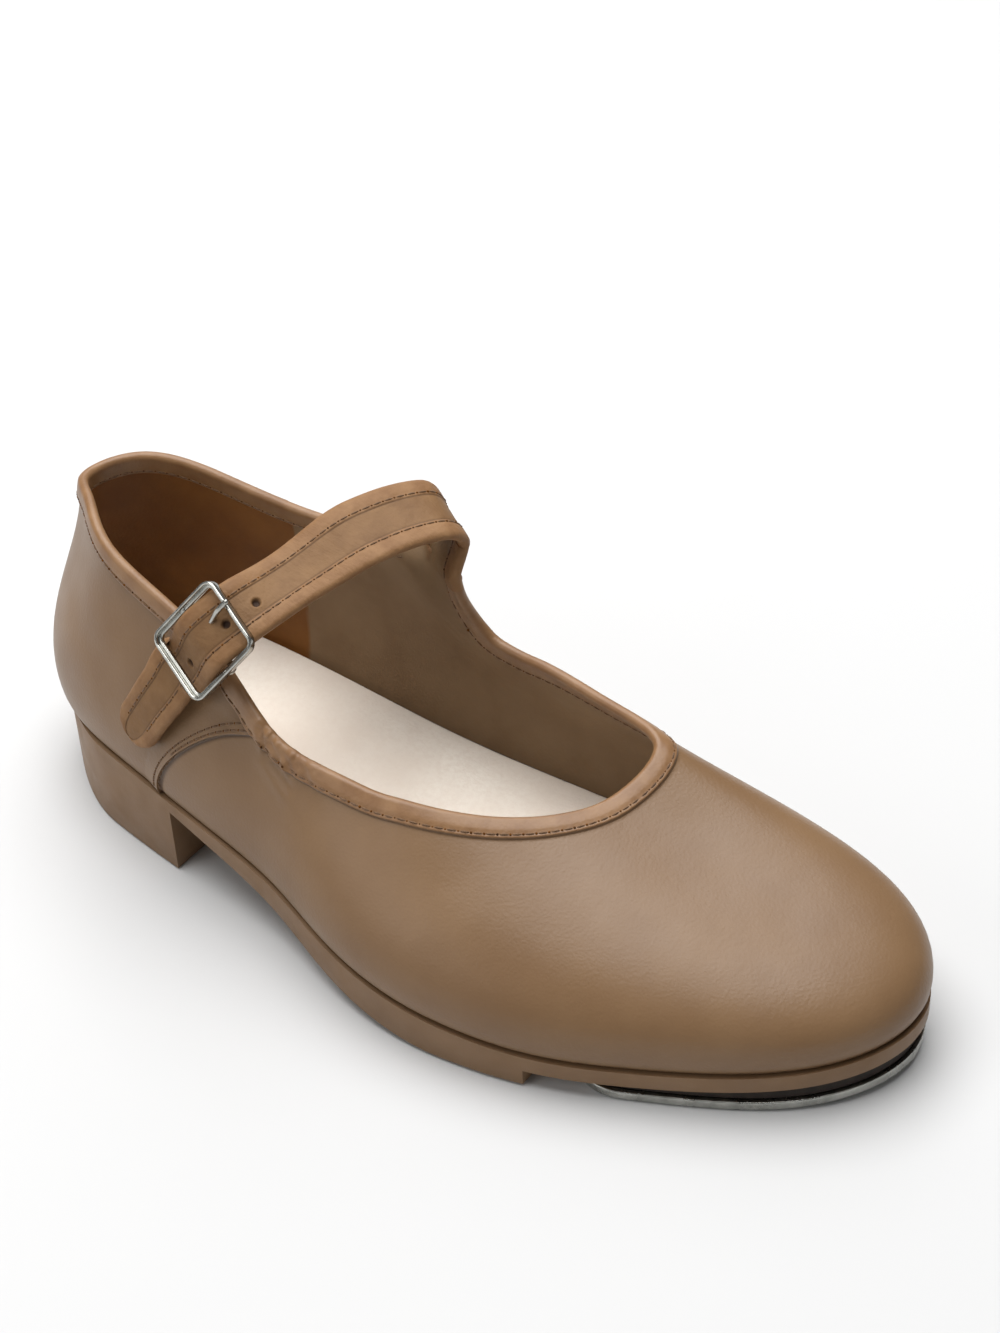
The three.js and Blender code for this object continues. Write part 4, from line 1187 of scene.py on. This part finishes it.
def strap_outlines(course):
    """Sections of the strap: a flat body between two folded hems with rolled edges."""
    share, length = course["share"], course["length"]
    left = length * (1 - share)
    half = STRAP_WIDTH / 2
    hem_at = half - STRAP_HEM_WIDTH
    roll = STRIP_HALF
    across = np.concatenate(
        [
            np.linspace(0, 3, 11)[:-1] * MM,
            np.linspace(3 * MM, hem_at - 0.4 * MM, 4)[:-1],
            hem_at + np.array([-0.4, -0.2, 0, 0.2, 0.45]) * MM,
            np.linspace(hem_at + 0.9 * MM, half - roll, 6),
        ]
    )
    hem = ease(hem_at - 0.3 * MM, hem_at + 0.35 * MM, across)
    thread = gauss(across - hem_at - STRAP_STITCH_INSET, 0.45 * MM)
    puff = 0.16 * MM * np.sin(np.pi * clamp((across - hem_at) / (half - hem_at))) * hem
    up = STRAP_THICKNESS / 2 + STRAP_HEM_RISE * hem - 0.14 * MM * thread + puff - 0.05 * MM * (1 - hem)
    angle = np.linspace(0, np.pi, 9)[1:-1]
    edge_x = half - roll + roll * np.sin(angle)
    edge_y = roll * np.cos(angle)
    right_x = np.concatenate([across, edge_x, across[::-1]])
    right_y = np.concatenate([up, edge_y, -up[::-1]])
    x = np.concatenate([right_x, -right_x[::-1][1:-1]])
    y = np.concatenate([right_y, right_y[::-1][1:-1]])
    hem_mask = np.concatenate([hem, np.ones(len(angle)), hem[::-1]])
    hem_mask = np.concatenate([hem_mask, hem_mask[::-1][1:-1]])
    before = mix(STRAP_WIDTH, STRAP_BUCKLE_WIDTH, ease(0.3, 0.52, share))
    width = mix(before, STRAP_END_WIDTH, ease(0.68, 0.95, share))
    tip = STRAP_END_WIDTH / 2
    rounding = np.where(left < tip, np.sqrt(np.maximum(1 - (1 - left / tip) ** 2, 0)), 1.0)
    scale = width / STRAP_WIDTH * np.maximum(rounding, 0.02)
    root = 1 + 0.22 * (1 - ease(0.0, 0.16, share))
    thin = np.where(left < 2 * MM, 0.55 + 0.45 * np.sqrt(clamp(left / (2 * MM))), 1.0)
    outlines = np.stack([x[None] * scale[:, None], y[None] * (root * thin)[:, None]], -1)
    return outlines, np.broadcast_to(hem_mask, outlines.shape[:2]).copy()


# Holes in the strap: mm past the pin, and radius in mm.
HOLE_COLUMNS = ("past_pin", "radius")
HOLE_ROWS = ((-15.2, 1.0), (-7.2, 1.0), (8.0, 1.0), (16.5, 1.0))
HEM_EDGE_SHARE = 1 - STRAP_HEM_WIDTH / (STRAP_WIDTH / 2)


class SHOE_OT_strap(bpy.types.Operator):
    """Builds the strap with its folded edges, holes and round tail"""

    bl_idname = "shoe.strap"
    bl_label = "Strap"

    def execute(self, context):
        course = strap_course(430)
        outlines, hem = strap_outlines(course)
        points = sweep(course, outlines)
        flat = course["length"] * course["share"]
        pin = flat[np.argmin(np.linalg.norm(course["place"] - at_buckle(0, 0, STRAP_OVER_PIN), axis=1))]
        # Painted shade: the holes are darkened through the shade mask, as is the groove at each hem's edge.
        shade = np.zeros(hem.shape)
        upward = outlines[..., 1] > 0
        for row in HOLE_ROWS:
            hole = dict(zip(HOLE_COLUMNS, row))
            past = flat[:, None] - pin - hole["past_pin"] * MM
            away = np.hypot(past, outlines[..., 0] - PRONG_OFFSET * 0.4) / MM
            dent = np.where(upward, 1 - ease(hole["radius"] * 0.75, hole["radius"] * 1.15, away), 0)
            rim = np.where(upward, gauss(away - hole["radius"] * 1.5, 0.4), 0)
            points += course["face"][:, None] * (0.1 * MM * rim - 0.9 * MM * dent)[..., None]
            shade = np.maximum(shade, dent)
        waves = np.sin(flat / (3.1 * MM)) * np.sin(flat / (7.7 * MM) + 1.3)
        ripple = 0.10 * MM * waves[:, None] * (0.35 + 0.65 * hem)
        points += course["face"][:, None] * ripple[..., None]
        # Painted shade along the groove at each hem's edge.
        out_share = np.abs(outlines[..., 0]) / outlines[..., 0].max(1, keepdims=True)
        groove = np.where(upward, gauss(out_share - HEM_EDGE_SHARE, 0.022), 0.0)
        shade = np.maximum(shade, groove * 0.6)
        points -= course["face"][:, None] * (0.12 * MM * groove)[..., None]
        under = np.where(upward, 0.0, 1 - hem)
        root = np.broadcast_to(1 - ease(0.03, 0.17, course["share"])[:, None], hem.shape)
        masks = {"binding": hem, "shade": shade, "lining": under, "root": root}
        strap = grid_piece("strap_leather", to_frame(points), False, True, masks)
        close_ends(strap)
        finish_piece(strap, strap_material(), "strap_leather", "strap", angle=70)
        SHAPES["strap"] = strap
        inset_share = 1 - (STRAP_HEM_WIDTH - STRAP_STITCH_INSET) / (STRAP_WIDTH / 2)
        upper_rings, lower_rings = slice(4, 412), slice(4, 290)
        rows = []
        for side in (-1, 1):
            reach = inset_share * outlines[:, :, 0].max(1)
            path = course["place"] + course["width"] * (side * reach)[:, None]
            rows.append(to_frame(path + course["face"] * STRIP_HALF)[upper_rings])
            rows.append(to_frame(path - course["face"] * STRIP_HALF)[lower_rings])
        SHAPES["strap_rows"] = rows
        return {"FINISHED"}


def buckle_frame_rings():
    """The square frame's bar: a rounded outer rim and a lower ledge inside it."""
    half_width = STRAP_BUCKLE_WIDTH / 2 + BUCKLE_SIDE_CLEARANCE + BUCKLE_BAR_WIDTH
    half_length = BUCKLE_LENGTH / 2
    inner = (half_width - BUCKLE_CORNER, half_length - BUCKLE_CORNER)
    path = []
    for x, y, start in ((1, 1, 0), (-1, 1, 90), (-1, -1, 180), (1, -1, 270)):
        for k in range(13):
            path.append((x * inner[0], y * inner[1], math.radians(start + 90 * k / 12)))
    rim = BUCKLE_BAR_WIDTH - BUCKLE_LEDGE
    radius = rim / 2
    angle = np.linspace(-np.pi / 2, np.pi / 2, 9)
    crown_up = BUCKLE_BAR_HEIGHT - radius
    round_top = [(radius - radius * math.sin(a), crown_up + radius * math.cos(a)) for a in angle]
    ledge_up = BUCKLE_BAR_HEIGHT * 0.5
    outer_cut, ledge_cut, inner_cut = 0.25 * MM, 0.15 * MM, 0.1 * MM
    ledge = [
        (rim, ledge_up),
        (BUCKLE_BAR_WIDTH - ledge_cut, ledge_up),
        (BUCKLE_BAR_WIDTH, ledge_up - ledge_cut),
        (BUCKLE_BAR_WIDTH, inner_cut),
        (BUCKLE_BAR_WIDTH - inner_cut, 0.0),
    ]
    profile = [(outer_cut, 0.0), (0.0, outer_cut)] + round_top[::-1] + ledge
    rings = []
    for x, y, turn in path:
        reach = np.array([BUCKLE_CORNER - inward for inward, _ in profile])
        up = np.array([BAR_BOTTOM + height for _, height in profile])
        rings.append(at_buckle(x + math.cos(turn) * reach, y + math.sin(turn) * reach, up))
    return np.array(rings), half_width


class SHOE_OT_buckle(bpy.types.Operator):
    """Builds the square buckle, its prong and the leather tab that holds it"""

    bl_idname = "shoe.buckle"
    bl_label = "Buckle"

    def execute(self, context):
        rings, half_width = buckle_frame_rings()
        bar = grid_piece("buckle_bar", to_frame(rings), True, True)
        side_at = half_width - BUCKLE_BAR_WIDTH / 2
        drop = BAR_BOTTOM + BUCKLE_BAR_HEIGHT / 2
        stops = (
            (-side_at, drop),
            (-side_at, (drop + PIN_UP) / 2),
            (-side_at + PIN_RADIUS, PIN_UP),
            (-side_at + PIN_RADIUS * 3, PIN_UP),
            (side_at - PIN_RADIUS * 3, PIN_UP),
            (side_at - PIN_RADIUS, PIN_UP),
            (side_at, (drop + PIN_UP) / 2),
            (side_at, drop),
        )
        pin_line = np.array([at_buckle(x, 0, z) for x, z in stops])
        pin = rod("buckle_pin", pin_line, BUCKLE_DOWN, PIN_RADIUS)
        metal = metal_material("buckle_metal", 0.2)
        whole = join_pieces([bar, pin], "buckle_steel")
        merge_and_face_out(whole, 1e-7)
        finish_piece(whole, metal, "buckle_metal", "buckle_frame", angle=50)

        bar_top = BAR_BOTTOM + BUCKLE_BAR_HEIGHT + GAP + PRONG_RADIUS
        around = [math.radians(a) for a in (230, 180, 130, 80)]
        hook = [
            at_buckle(PRONG_OFFSET, -math.cos(a) * PRONG_HOOK, PIN_UP + math.sin(a) * PRONG_HOOK)
            for a in around
        ]
        reach = [
            at_buckle(PRONG_OFFSET, -BAR_AT * 0.5, mix(PIN_UP + PRONG_HOOK, bar_top, 0.55)),
            at_buckle(PRONG_OFFSET, -BAR_AT * 0.9, bar_top),
            at_buckle(PRONG_OFFSET, -BAR_AT * 1.2, bar_top),
        ]
        prong = rod("prong_wire", np.array(hook + reach), BUCKLE_SIDE, PRONG_RADIUS)
        finish_piece(prong, metal, "buckle_metal", "buckle_prong", angle=60)

        loop = PIN_RADIUS + GAP + TAB_THICKNESS / 2
        lift = TAB_INNER + TAB_THICKNESS / 2
        places = [at_buckle(0, loop * 2, PIN_UP - loop * 0.2)]
        round_pin = np.radians([60, 110, 180, 250])
        places += [at_buckle(0, math.cos(a) * loop, PIN_UP + math.sin(a) * loop) for a in round_pin]
        places += [at_buckle(0, loop * 1.6, lift)]
        stop, stop_width = tail_stops(lambda k: lift)[0]
        widths = [-BUCKLE_SIDE] * len(places) + [stop_width]
        steps, sides = 60, 28
        course = even_course(places + [stop], widths, steps)
        angle = np.linspace(0, 2 * np.pi, sides, endpoint=False)
        cosine, sine = np.cos(angle), np.sin(angle)
        across = np.sign(cosine) * np.abs(cosine) ** 0.25 * TAB_WIDTH / 2
        out = np.sign(sine) * np.abs(sine) ** 0.6 * TAB_THICKNESS / 2
        sections = np.broadcast_to(np.stack([across, out], -1), (steps + 1, sides, 2))
        tab = grid_piece("tab_leather", to_frame(sweep(course, sections)), False, True)
        close_ends(tab)
        finish_piece(tab, bpy.data.materials["strap_leather"], "strap_leather", "buckle_tab", angle=60)
        return {"FINISHED"}


# The sole, the insole and the taps


def toe_ceiling(along):
    """The sole's underside over the toe tap and its board."""
    return feather_up(along) - TOE_EDGE_THICKNESS


def tap_bottom(along):
    """The toe tap's underside: flat, and then up to its tip."""
    return TAP_TIP_RISE * (np.maximum(along - TAP_FLAT_END, 0) / (SHOE_LENGTH - TAP_FLAT_END)) ** 2


def side_cutter(name, profile):
    """A side profile, given as along and up, cut right across the shoe."""
    profile = np.asarray(profile, float)
    ends = [np.full(len(profile), x) for x in (-BALL_WIDTH, BALL_WIDTH)]
    sides = np.array([np.stack([x, -profile[:, 0], profile[:, 1]], -1) for x in ends])
    cutter = grid_piece(name, to_frame(sides), False, True)
    close_ends(cutter)
    return cutter


def cut_away(piece, cutters):
    """Cuts closed meshes out of a piece and removes them."""
    make_active(piece)
    for cutter in cutters:
        bpy.ops.object.modifier_add(type="BOOLEAN")
        boolean = piece.modifiers[-1]
        boolean.operation = "DIFFERENCE"
        boolean.solver = "EXACT"
        boolean.object = cutter
    apply_modifiers(piece)
    for cutter in cutters:
        bpy.data.objects.remove(cutter)


class SHOE_OT_sole(bpy.types.Operator):
    """Builds the moulded sole with its block heel, arch and toe step"""

    bl_idname = "shoe.sole"
    bl_label = "Sole"

    def execute(self, context):
        outline = plan_outline(SOLE_EDGE, HEEL_TUCK)
        below, beyond = -10 * MM, SHOE_LENGTH * 1.1
        slab = plate(
            "sole_moulding", outline, outline["back"], outline["front"],
            lambda along: np.full_like(along, HEEL_RIM_LIFT),
            lambda along: feather_up(along) - GAP,
            slices=220,
        )
        shank = float(feather_up(np.array(HEEL_LENGTH))) - SHANK_THICKNESS
        run = TREAD_START - HEEL_LENGTH
        arch = np.array([[
            [HEEL_LENGTH, shank, 0],
            [HEEL_LENGTH + run * 0.34, shank - run * 0.07, 0],
            [TREAD_START - run * 0.28, TREAD_LIFT, 0],
            [TREAD_START, TREAD_LIFT, 0],
        ]])
        curve = bezier(arch, np.linspace(0, 1, 41)[None])[0][:, :2]
        hollow = np.concatenate([[[HEEL_LENGTH, below]], curve, [[beyond, TREAD_LIFT], [beyond, below]]])
        along = np.linspace(TREAD_END, beyond, 40)
        ceiling = np.stack([along, toe_ceiling(along)], -1)
        step = np.concatenate([[[TREAD_END, below]], ceiling, [[beyond, below]]])
        pocket_outline = plan_outline(SOLE_EDGE - HEEL_TAP_INSET + GAP, HEEL_TUCK)
        pocket = plate(
            "heel_pocket", pocket_outline, pocket_outline["back"], HEEL_LENGTH - HEEL_TAP_INSET + GAP,
            lambda along: np.full_like(along, below),
            lambda along: np.full_like(along, HEEL_TAP_THICKNESS + GAP),
            HEEL_TAP_CORNER, slices=60,
        )
        cut_away(slab, [side_cutter("arch_cut", hollow), side_cutter("toe_cut", step), pocket])
        bevel_edges(slab, 0.45 * MM, 3, 40)
        finish_piece(slab, sole_material(), "sole_moulding", "unit_sole", angle=35)
        return {"FINISHED"}


class SHOE_OT_insole(bpy.types.Operator):
    """Lays the cloth-covered insole"""

    bl_idname = "shoe.insole"
    bl_label = "Insole"

    def execute(self, context):
        outline = plan_outline(-WALL - INSOLE_CLEARANCE)
        insole = plate(
            "insole_cloth", outline, outline["back"], outline["front"],
            lambda along: feather_up(along) + GAP / 2,
            lambda along: feather_up(along) + GAP / 2 + INSOLE_THICKNESS,
            soft=(0.4 * MM, 1.2 * MM), slices=160, crown=0.8 * MM,
        )
        finish_piece(insole, insole_material(), "insole_cloth", "insole", angle=60)
        return {"FINISHED"}


class SHOE_OT_taps(bpy.types.Operator):
    """Builds the toe tap with the dark board over it, coloured with painted shade, and the heel tap"""

    bl_idname = "shoe.taps"
    bl_label = "Taps"

    def execute(self, context):
        metal = metal_material("tap_metal", 0.24, 0.06)
        outline = plan_outline(SOLE_EDGE - TAP_INSET)
        tap = plate(
            "toe_tap_metal", outline, TAP_BACK, outline["front"], tap_bottom,
            lambda along: tap_bottom(along) + TAP_THICKNESS,
            TAP_CORNER, (1.1 * MM, 0.4 * MM), 200,
        )
        finish_piece(tap, metal, "tap_metal", "toe_tap", angle=50)
        # The board is a dark sheet laid in the shadowed gap between the sole's toe and the tap; its
        # near-black colour is painted shade.
        board_outline = plan_outline(SOLE_EDGE - TAP_INSET * 3)
        board = plate(
            "toe_gap_shade_board", board_outline, TAP_BACK + TAP_INSET * 2, board_outline["front"],
            lambda along: tap_bottom(along) + TAP_THICKNESS + GAP,
            lambda along: toe_ceiling(along) - GAP,
            TAP_CORNER, (0.3 * MM, 0.3 * MM), 160,
        )
        finish_piece(board, gap_shade_board_material(), "board", "toe_tap_board", angle=50)
        heel_outline = plan_outline(SOLE_EDGE - HEEL_TAP_INSET, HEEL_TUCK)
        heel = plate(
            "heel_tap_metal", heel_outline, heel_outline["back"], HEEL_LENGTH - HEEL_TAP_INSET,
            np.zeros_like, lambda along: np.full_like(along, HEEL_TAP_THICKNESS),
            HEEL_TAP_CORNER, (0.5 * MM, 0.2 * MM), 120,
        )
        finish_piece(heel, metal, "tap_metal", "heel_tap", angle=50)
        return {"FINISHED"}


# The stage


class SHOE_OT_stage(bpy.types.Operator):
    """Sets the pale floor, the soft lights and the camera"""

    bl_idname = "shoe.stage"
    bl_label = "Stage"

    def execute(self, context):
        studio = context.scene.tap_shoe.studio
        deselect_all()
        bpy.ops.mesh.primitive_plane_add(size=12, location=(0, 0, 0))
        floor = context.object
        floor.name = "floor"
        paper = Finish("floor_paper", 0.85, specular=0.2)
        paper.set("Base Color", (*studio.floor_colour, 1))
        floor.data.materials.append(paper.material)

        world = context.scene.world or bpy.data.worlds.new("studio")
        context.scene.world = world
        world.use_nodes = True
        background = world.node_tree.nodes["Background"]
        background.inputs["Color"].default_value = (1.0, 1.0, 1.0, 1)
        background.inputs["Strength"].default_value = studio.world_strength

        # Each light's name, place, aim, size and power.
        lights = (
            ("key", (0.15, 0.25, 1.3), (0.0, 0.0, 0.0), 1.5, studio.key_power),
            ("back", (0.9, 0.6, 0.75), (0.0, 0.0, 0.05), 0.8, studio.back_power),
            ("side", (-0.9, 0.45, 0.6), (0.0, 0.0, 0.05), 0.7, studio.side_power),
        )
        for name, place, aim, size, power in lights:
            bpy.ops.object.light_add(type="AREA", location=place)
            light = context.object
            light.name = name
            light.data.shape = "DISK"
            light.data.size = size
            light.data.energy = power
            light.rotation_euler = (Vector(aim) - Vector(place)).to_track_quat("-Z", "Y").to_euler()

        azimuth, elevation, roll = (math.radians(a) for a in (-52.77, 39.35, -2.87))
        target = Vector((21.90 * MM, -3.30 * MM, 56.8 * MM))
        distance = 0.6
        back = Vector((
            math.sin(azimuth) * math.cos(elevation),
            -math.cos(azimuth) * math.cos(elevation),
            math.sin(elevation),
        ))
        right = Vector((0, 0, 1)).cross(back).normalized()
        up = back.cross(right)
        rolled_right = right * math.cos(roll) + up * math.sin(roll)
        rolled_up = up * math.cos(roll) - right * math.sin(roll)
        bpy.ops.object.camera_add()
        camera = context.object
        camera.name = "camera"
        turn = Matrix((rolled_right, rolled_up, back)).transposed().to_4x4()
        camera.matrix_world = Matrix.Translation(target + back * distance) @ turn
        focal_pixels, long_side, sensor = 2588, 1333, 36
        camera.data.sensor_width = sensor
        camera.data.lens = focal_pixels * sensor / long_side
        camera.data.clip_start = 0.01
        context.scene.camera = camera
        context.scene.view_settings.view_transform = "Standard"
        return {"FINISHED"}


# The settings, the panel and main


def linear_colour(name, words, value):
    limits = {"min": 0, "max": 1, "size": 3}
    return FloatVectorProperty(name=name, description=words, subtype="COLOR", default=value, **limits)


def colour(name, words, *shown):
    """A colour property, given as it shows on a screen: red, green and blue, each over 10 of 255."""
    return linear_colour(name, words, tuple(((x / 255 + 0.055) / 1.055) ** 2.4 for x in shown))


def length(name, words, value):
    return FloatProperty(name=name, description=words, default=value, unit="LENGTH")


def power(name, words, value):
    return FloatProperty(name=name, description=words, default=value, unit="POWER")


class ShoeColours(bpy.types.PropertyGroup):
    """Colours of the shoe's materials"""

    leather: colour("Leather", "Smooth leather of the upper", 127, 98, 68)
    leather_deep: colour("Leather, deeper", "Its deeper clouds", 119, 90, 61)
    binding: colour("Binding", "Folded edge along topline and strap", 141, 106, 72)
    binding_deep: colour("Binding, deeper", "Its deeper clouds", 126, 91, 59)
    strap: colour("Strap", "Middle of the strap", 128, 96, 63)
    strap_deep: colour("Strap, deeper", "Its deeper clouds", 113, 82, 52)
    lining: colour("Lining", "Lining at the heel", 134, 86, 32)
    lining_deep: colour("Lining, deeper", "Its deeper clouds", 116, 70, 22)
    lining_front: colour("Front lining", "Lining ahead of the heel", 140, 114, 84)
    lining_front_deep: colour("Front lining, deeper", "Its deeper clouds", 126, 100, 71)
    # Painted shade: the dark colour laid in grooves, seam laps, the feather line, hem edges and holes.
    shade: colour("Shade", "Grooves and holes", 58, 38, 24)
    thread: colour("Thread", "Stitches", 114, 85, 58)
    thread_deep: colour("Thread, deeper", "Its twist", 92, 66, 43)
    sole: colour("Sole", "Moulded sole and heel", 130, 101, 72)
    sole_deep: colour("Sole, deeper", "Its deeper clouds", 117, 89, 61)
    insole: colour("Insole", "Cloth of the insole", 246, 238, 226)
    insole_deep: colour("Insole, deeper", "Its flecks", 232, 219, 205)
    metal: colour("Metal", "Taps and buckle", 188, 188, 182)
    metal_deep: colour("Metal, deeper", "Its worn places", 150, 150, 144)
    # Painted shade: the near-black board colour stands for the shadow in the gap over the toe tap.
    board: colour("Board", "Board over the toe tap", 48, 39, 32)
    gap_shade_board_deep: colour("Board, deeper", "Its deeper clouds", 32, 26, 22)


class ShoeSizes(bpy.types.PropertyGroup):
    """Sizes of the sewing"""

    stitch_pitch: length("Stitch pitch", "From stitch to stitch", STITCH_PITCH)
    stitch_length: length("Stitch length", "Length of one stitch", 2.2 * MM)
    thread_radius: length("Thread radius", "Half the thread's thickness", 0.24 * MM)


class StudioSettings(bpy.types.PropertyGroup):
    """Lights and floor"""

    key_power: power("Key light", "Power of the large light above", 29.5)
    back_power: power("Back light", "Power of the light behind", 3.2)
    side_power: power("Side light", "Power of the light at the outer side", 2.6)
    world_strength: FloatProperty(name="Room light", description="Light all round", default=0.2)
    floor_colour: linear_colour("Floor", "Pale floor", (0.62, 0.62, 0.62))


class TapShoeSettings(bpy.types.PropertyGroup):
    """All the settings of the tap shoe"""

    colours: PointerProperty(type=ShoeColours)
    sizes: PointerProperty(type=ShoeSizes)
    studio: PointerProperty(type=StudioSettings)


OPERATORS = (
    SHOE_OT_upper,
    SHOE_OT_strap,
    SHOE_OT_stitches,
    SHOE_OT_buckle,
    SHOE_OT_sole,
    SHOE_OT_insole,
    SHOE_OT_taps,
    SHOE_OT_stage,
)


class SHOE_PT_panel(bpy.types.Panel):
    """Lists the shoe's pieces and its settings"""

    bl_idname = "SHOE_PT_panel"
    bl_label = "Tap shoe"
    bl_space_type = "VIEW_3D"
    bl_region_type = "UI"
    bl_category = "Shoe"

    def draw(self, context):
        for operator in OPERATORS:
            self.layout.operator(operator.bl_idname)
        settings = context.scene.tap_shoe
        for group in (settings.sizes, settings.colours, settings.studio):
            box = self.layout.box()
            for name in group.__annotations__:
                box.prop(group, name)


CLASSES = (ShoeColours, ShoeSizes, StudioSettings, TapShoeSettings, *OPERATORS, SHOE_PT_panel)


def register():
    for item in CLASSES:
        bpy.utils.register_class(item)
    bpy.types.Scene.tap_shoe = PointerProperty(type=TapShoeSettings)


def unregister():
    del bpy.types.Scene.tap_shoe
    for item in reversed(CLASSES):
        bpy.utils.unregister_class(item)


def main():
    register()
    bpy.ops.shoe.upper()
    bpy.ops.shoe.strap()
    bpy.ops.shoe.stitches()
    bpy.ops.shoe.buckle()
    bpy.ops.shoe.sole()
    bpy.ops.shoe.insole()
    bpy.ops.shoe.taps()
    bpy.ops.shoe.stage()


if __name__ == "__main__":
    main()
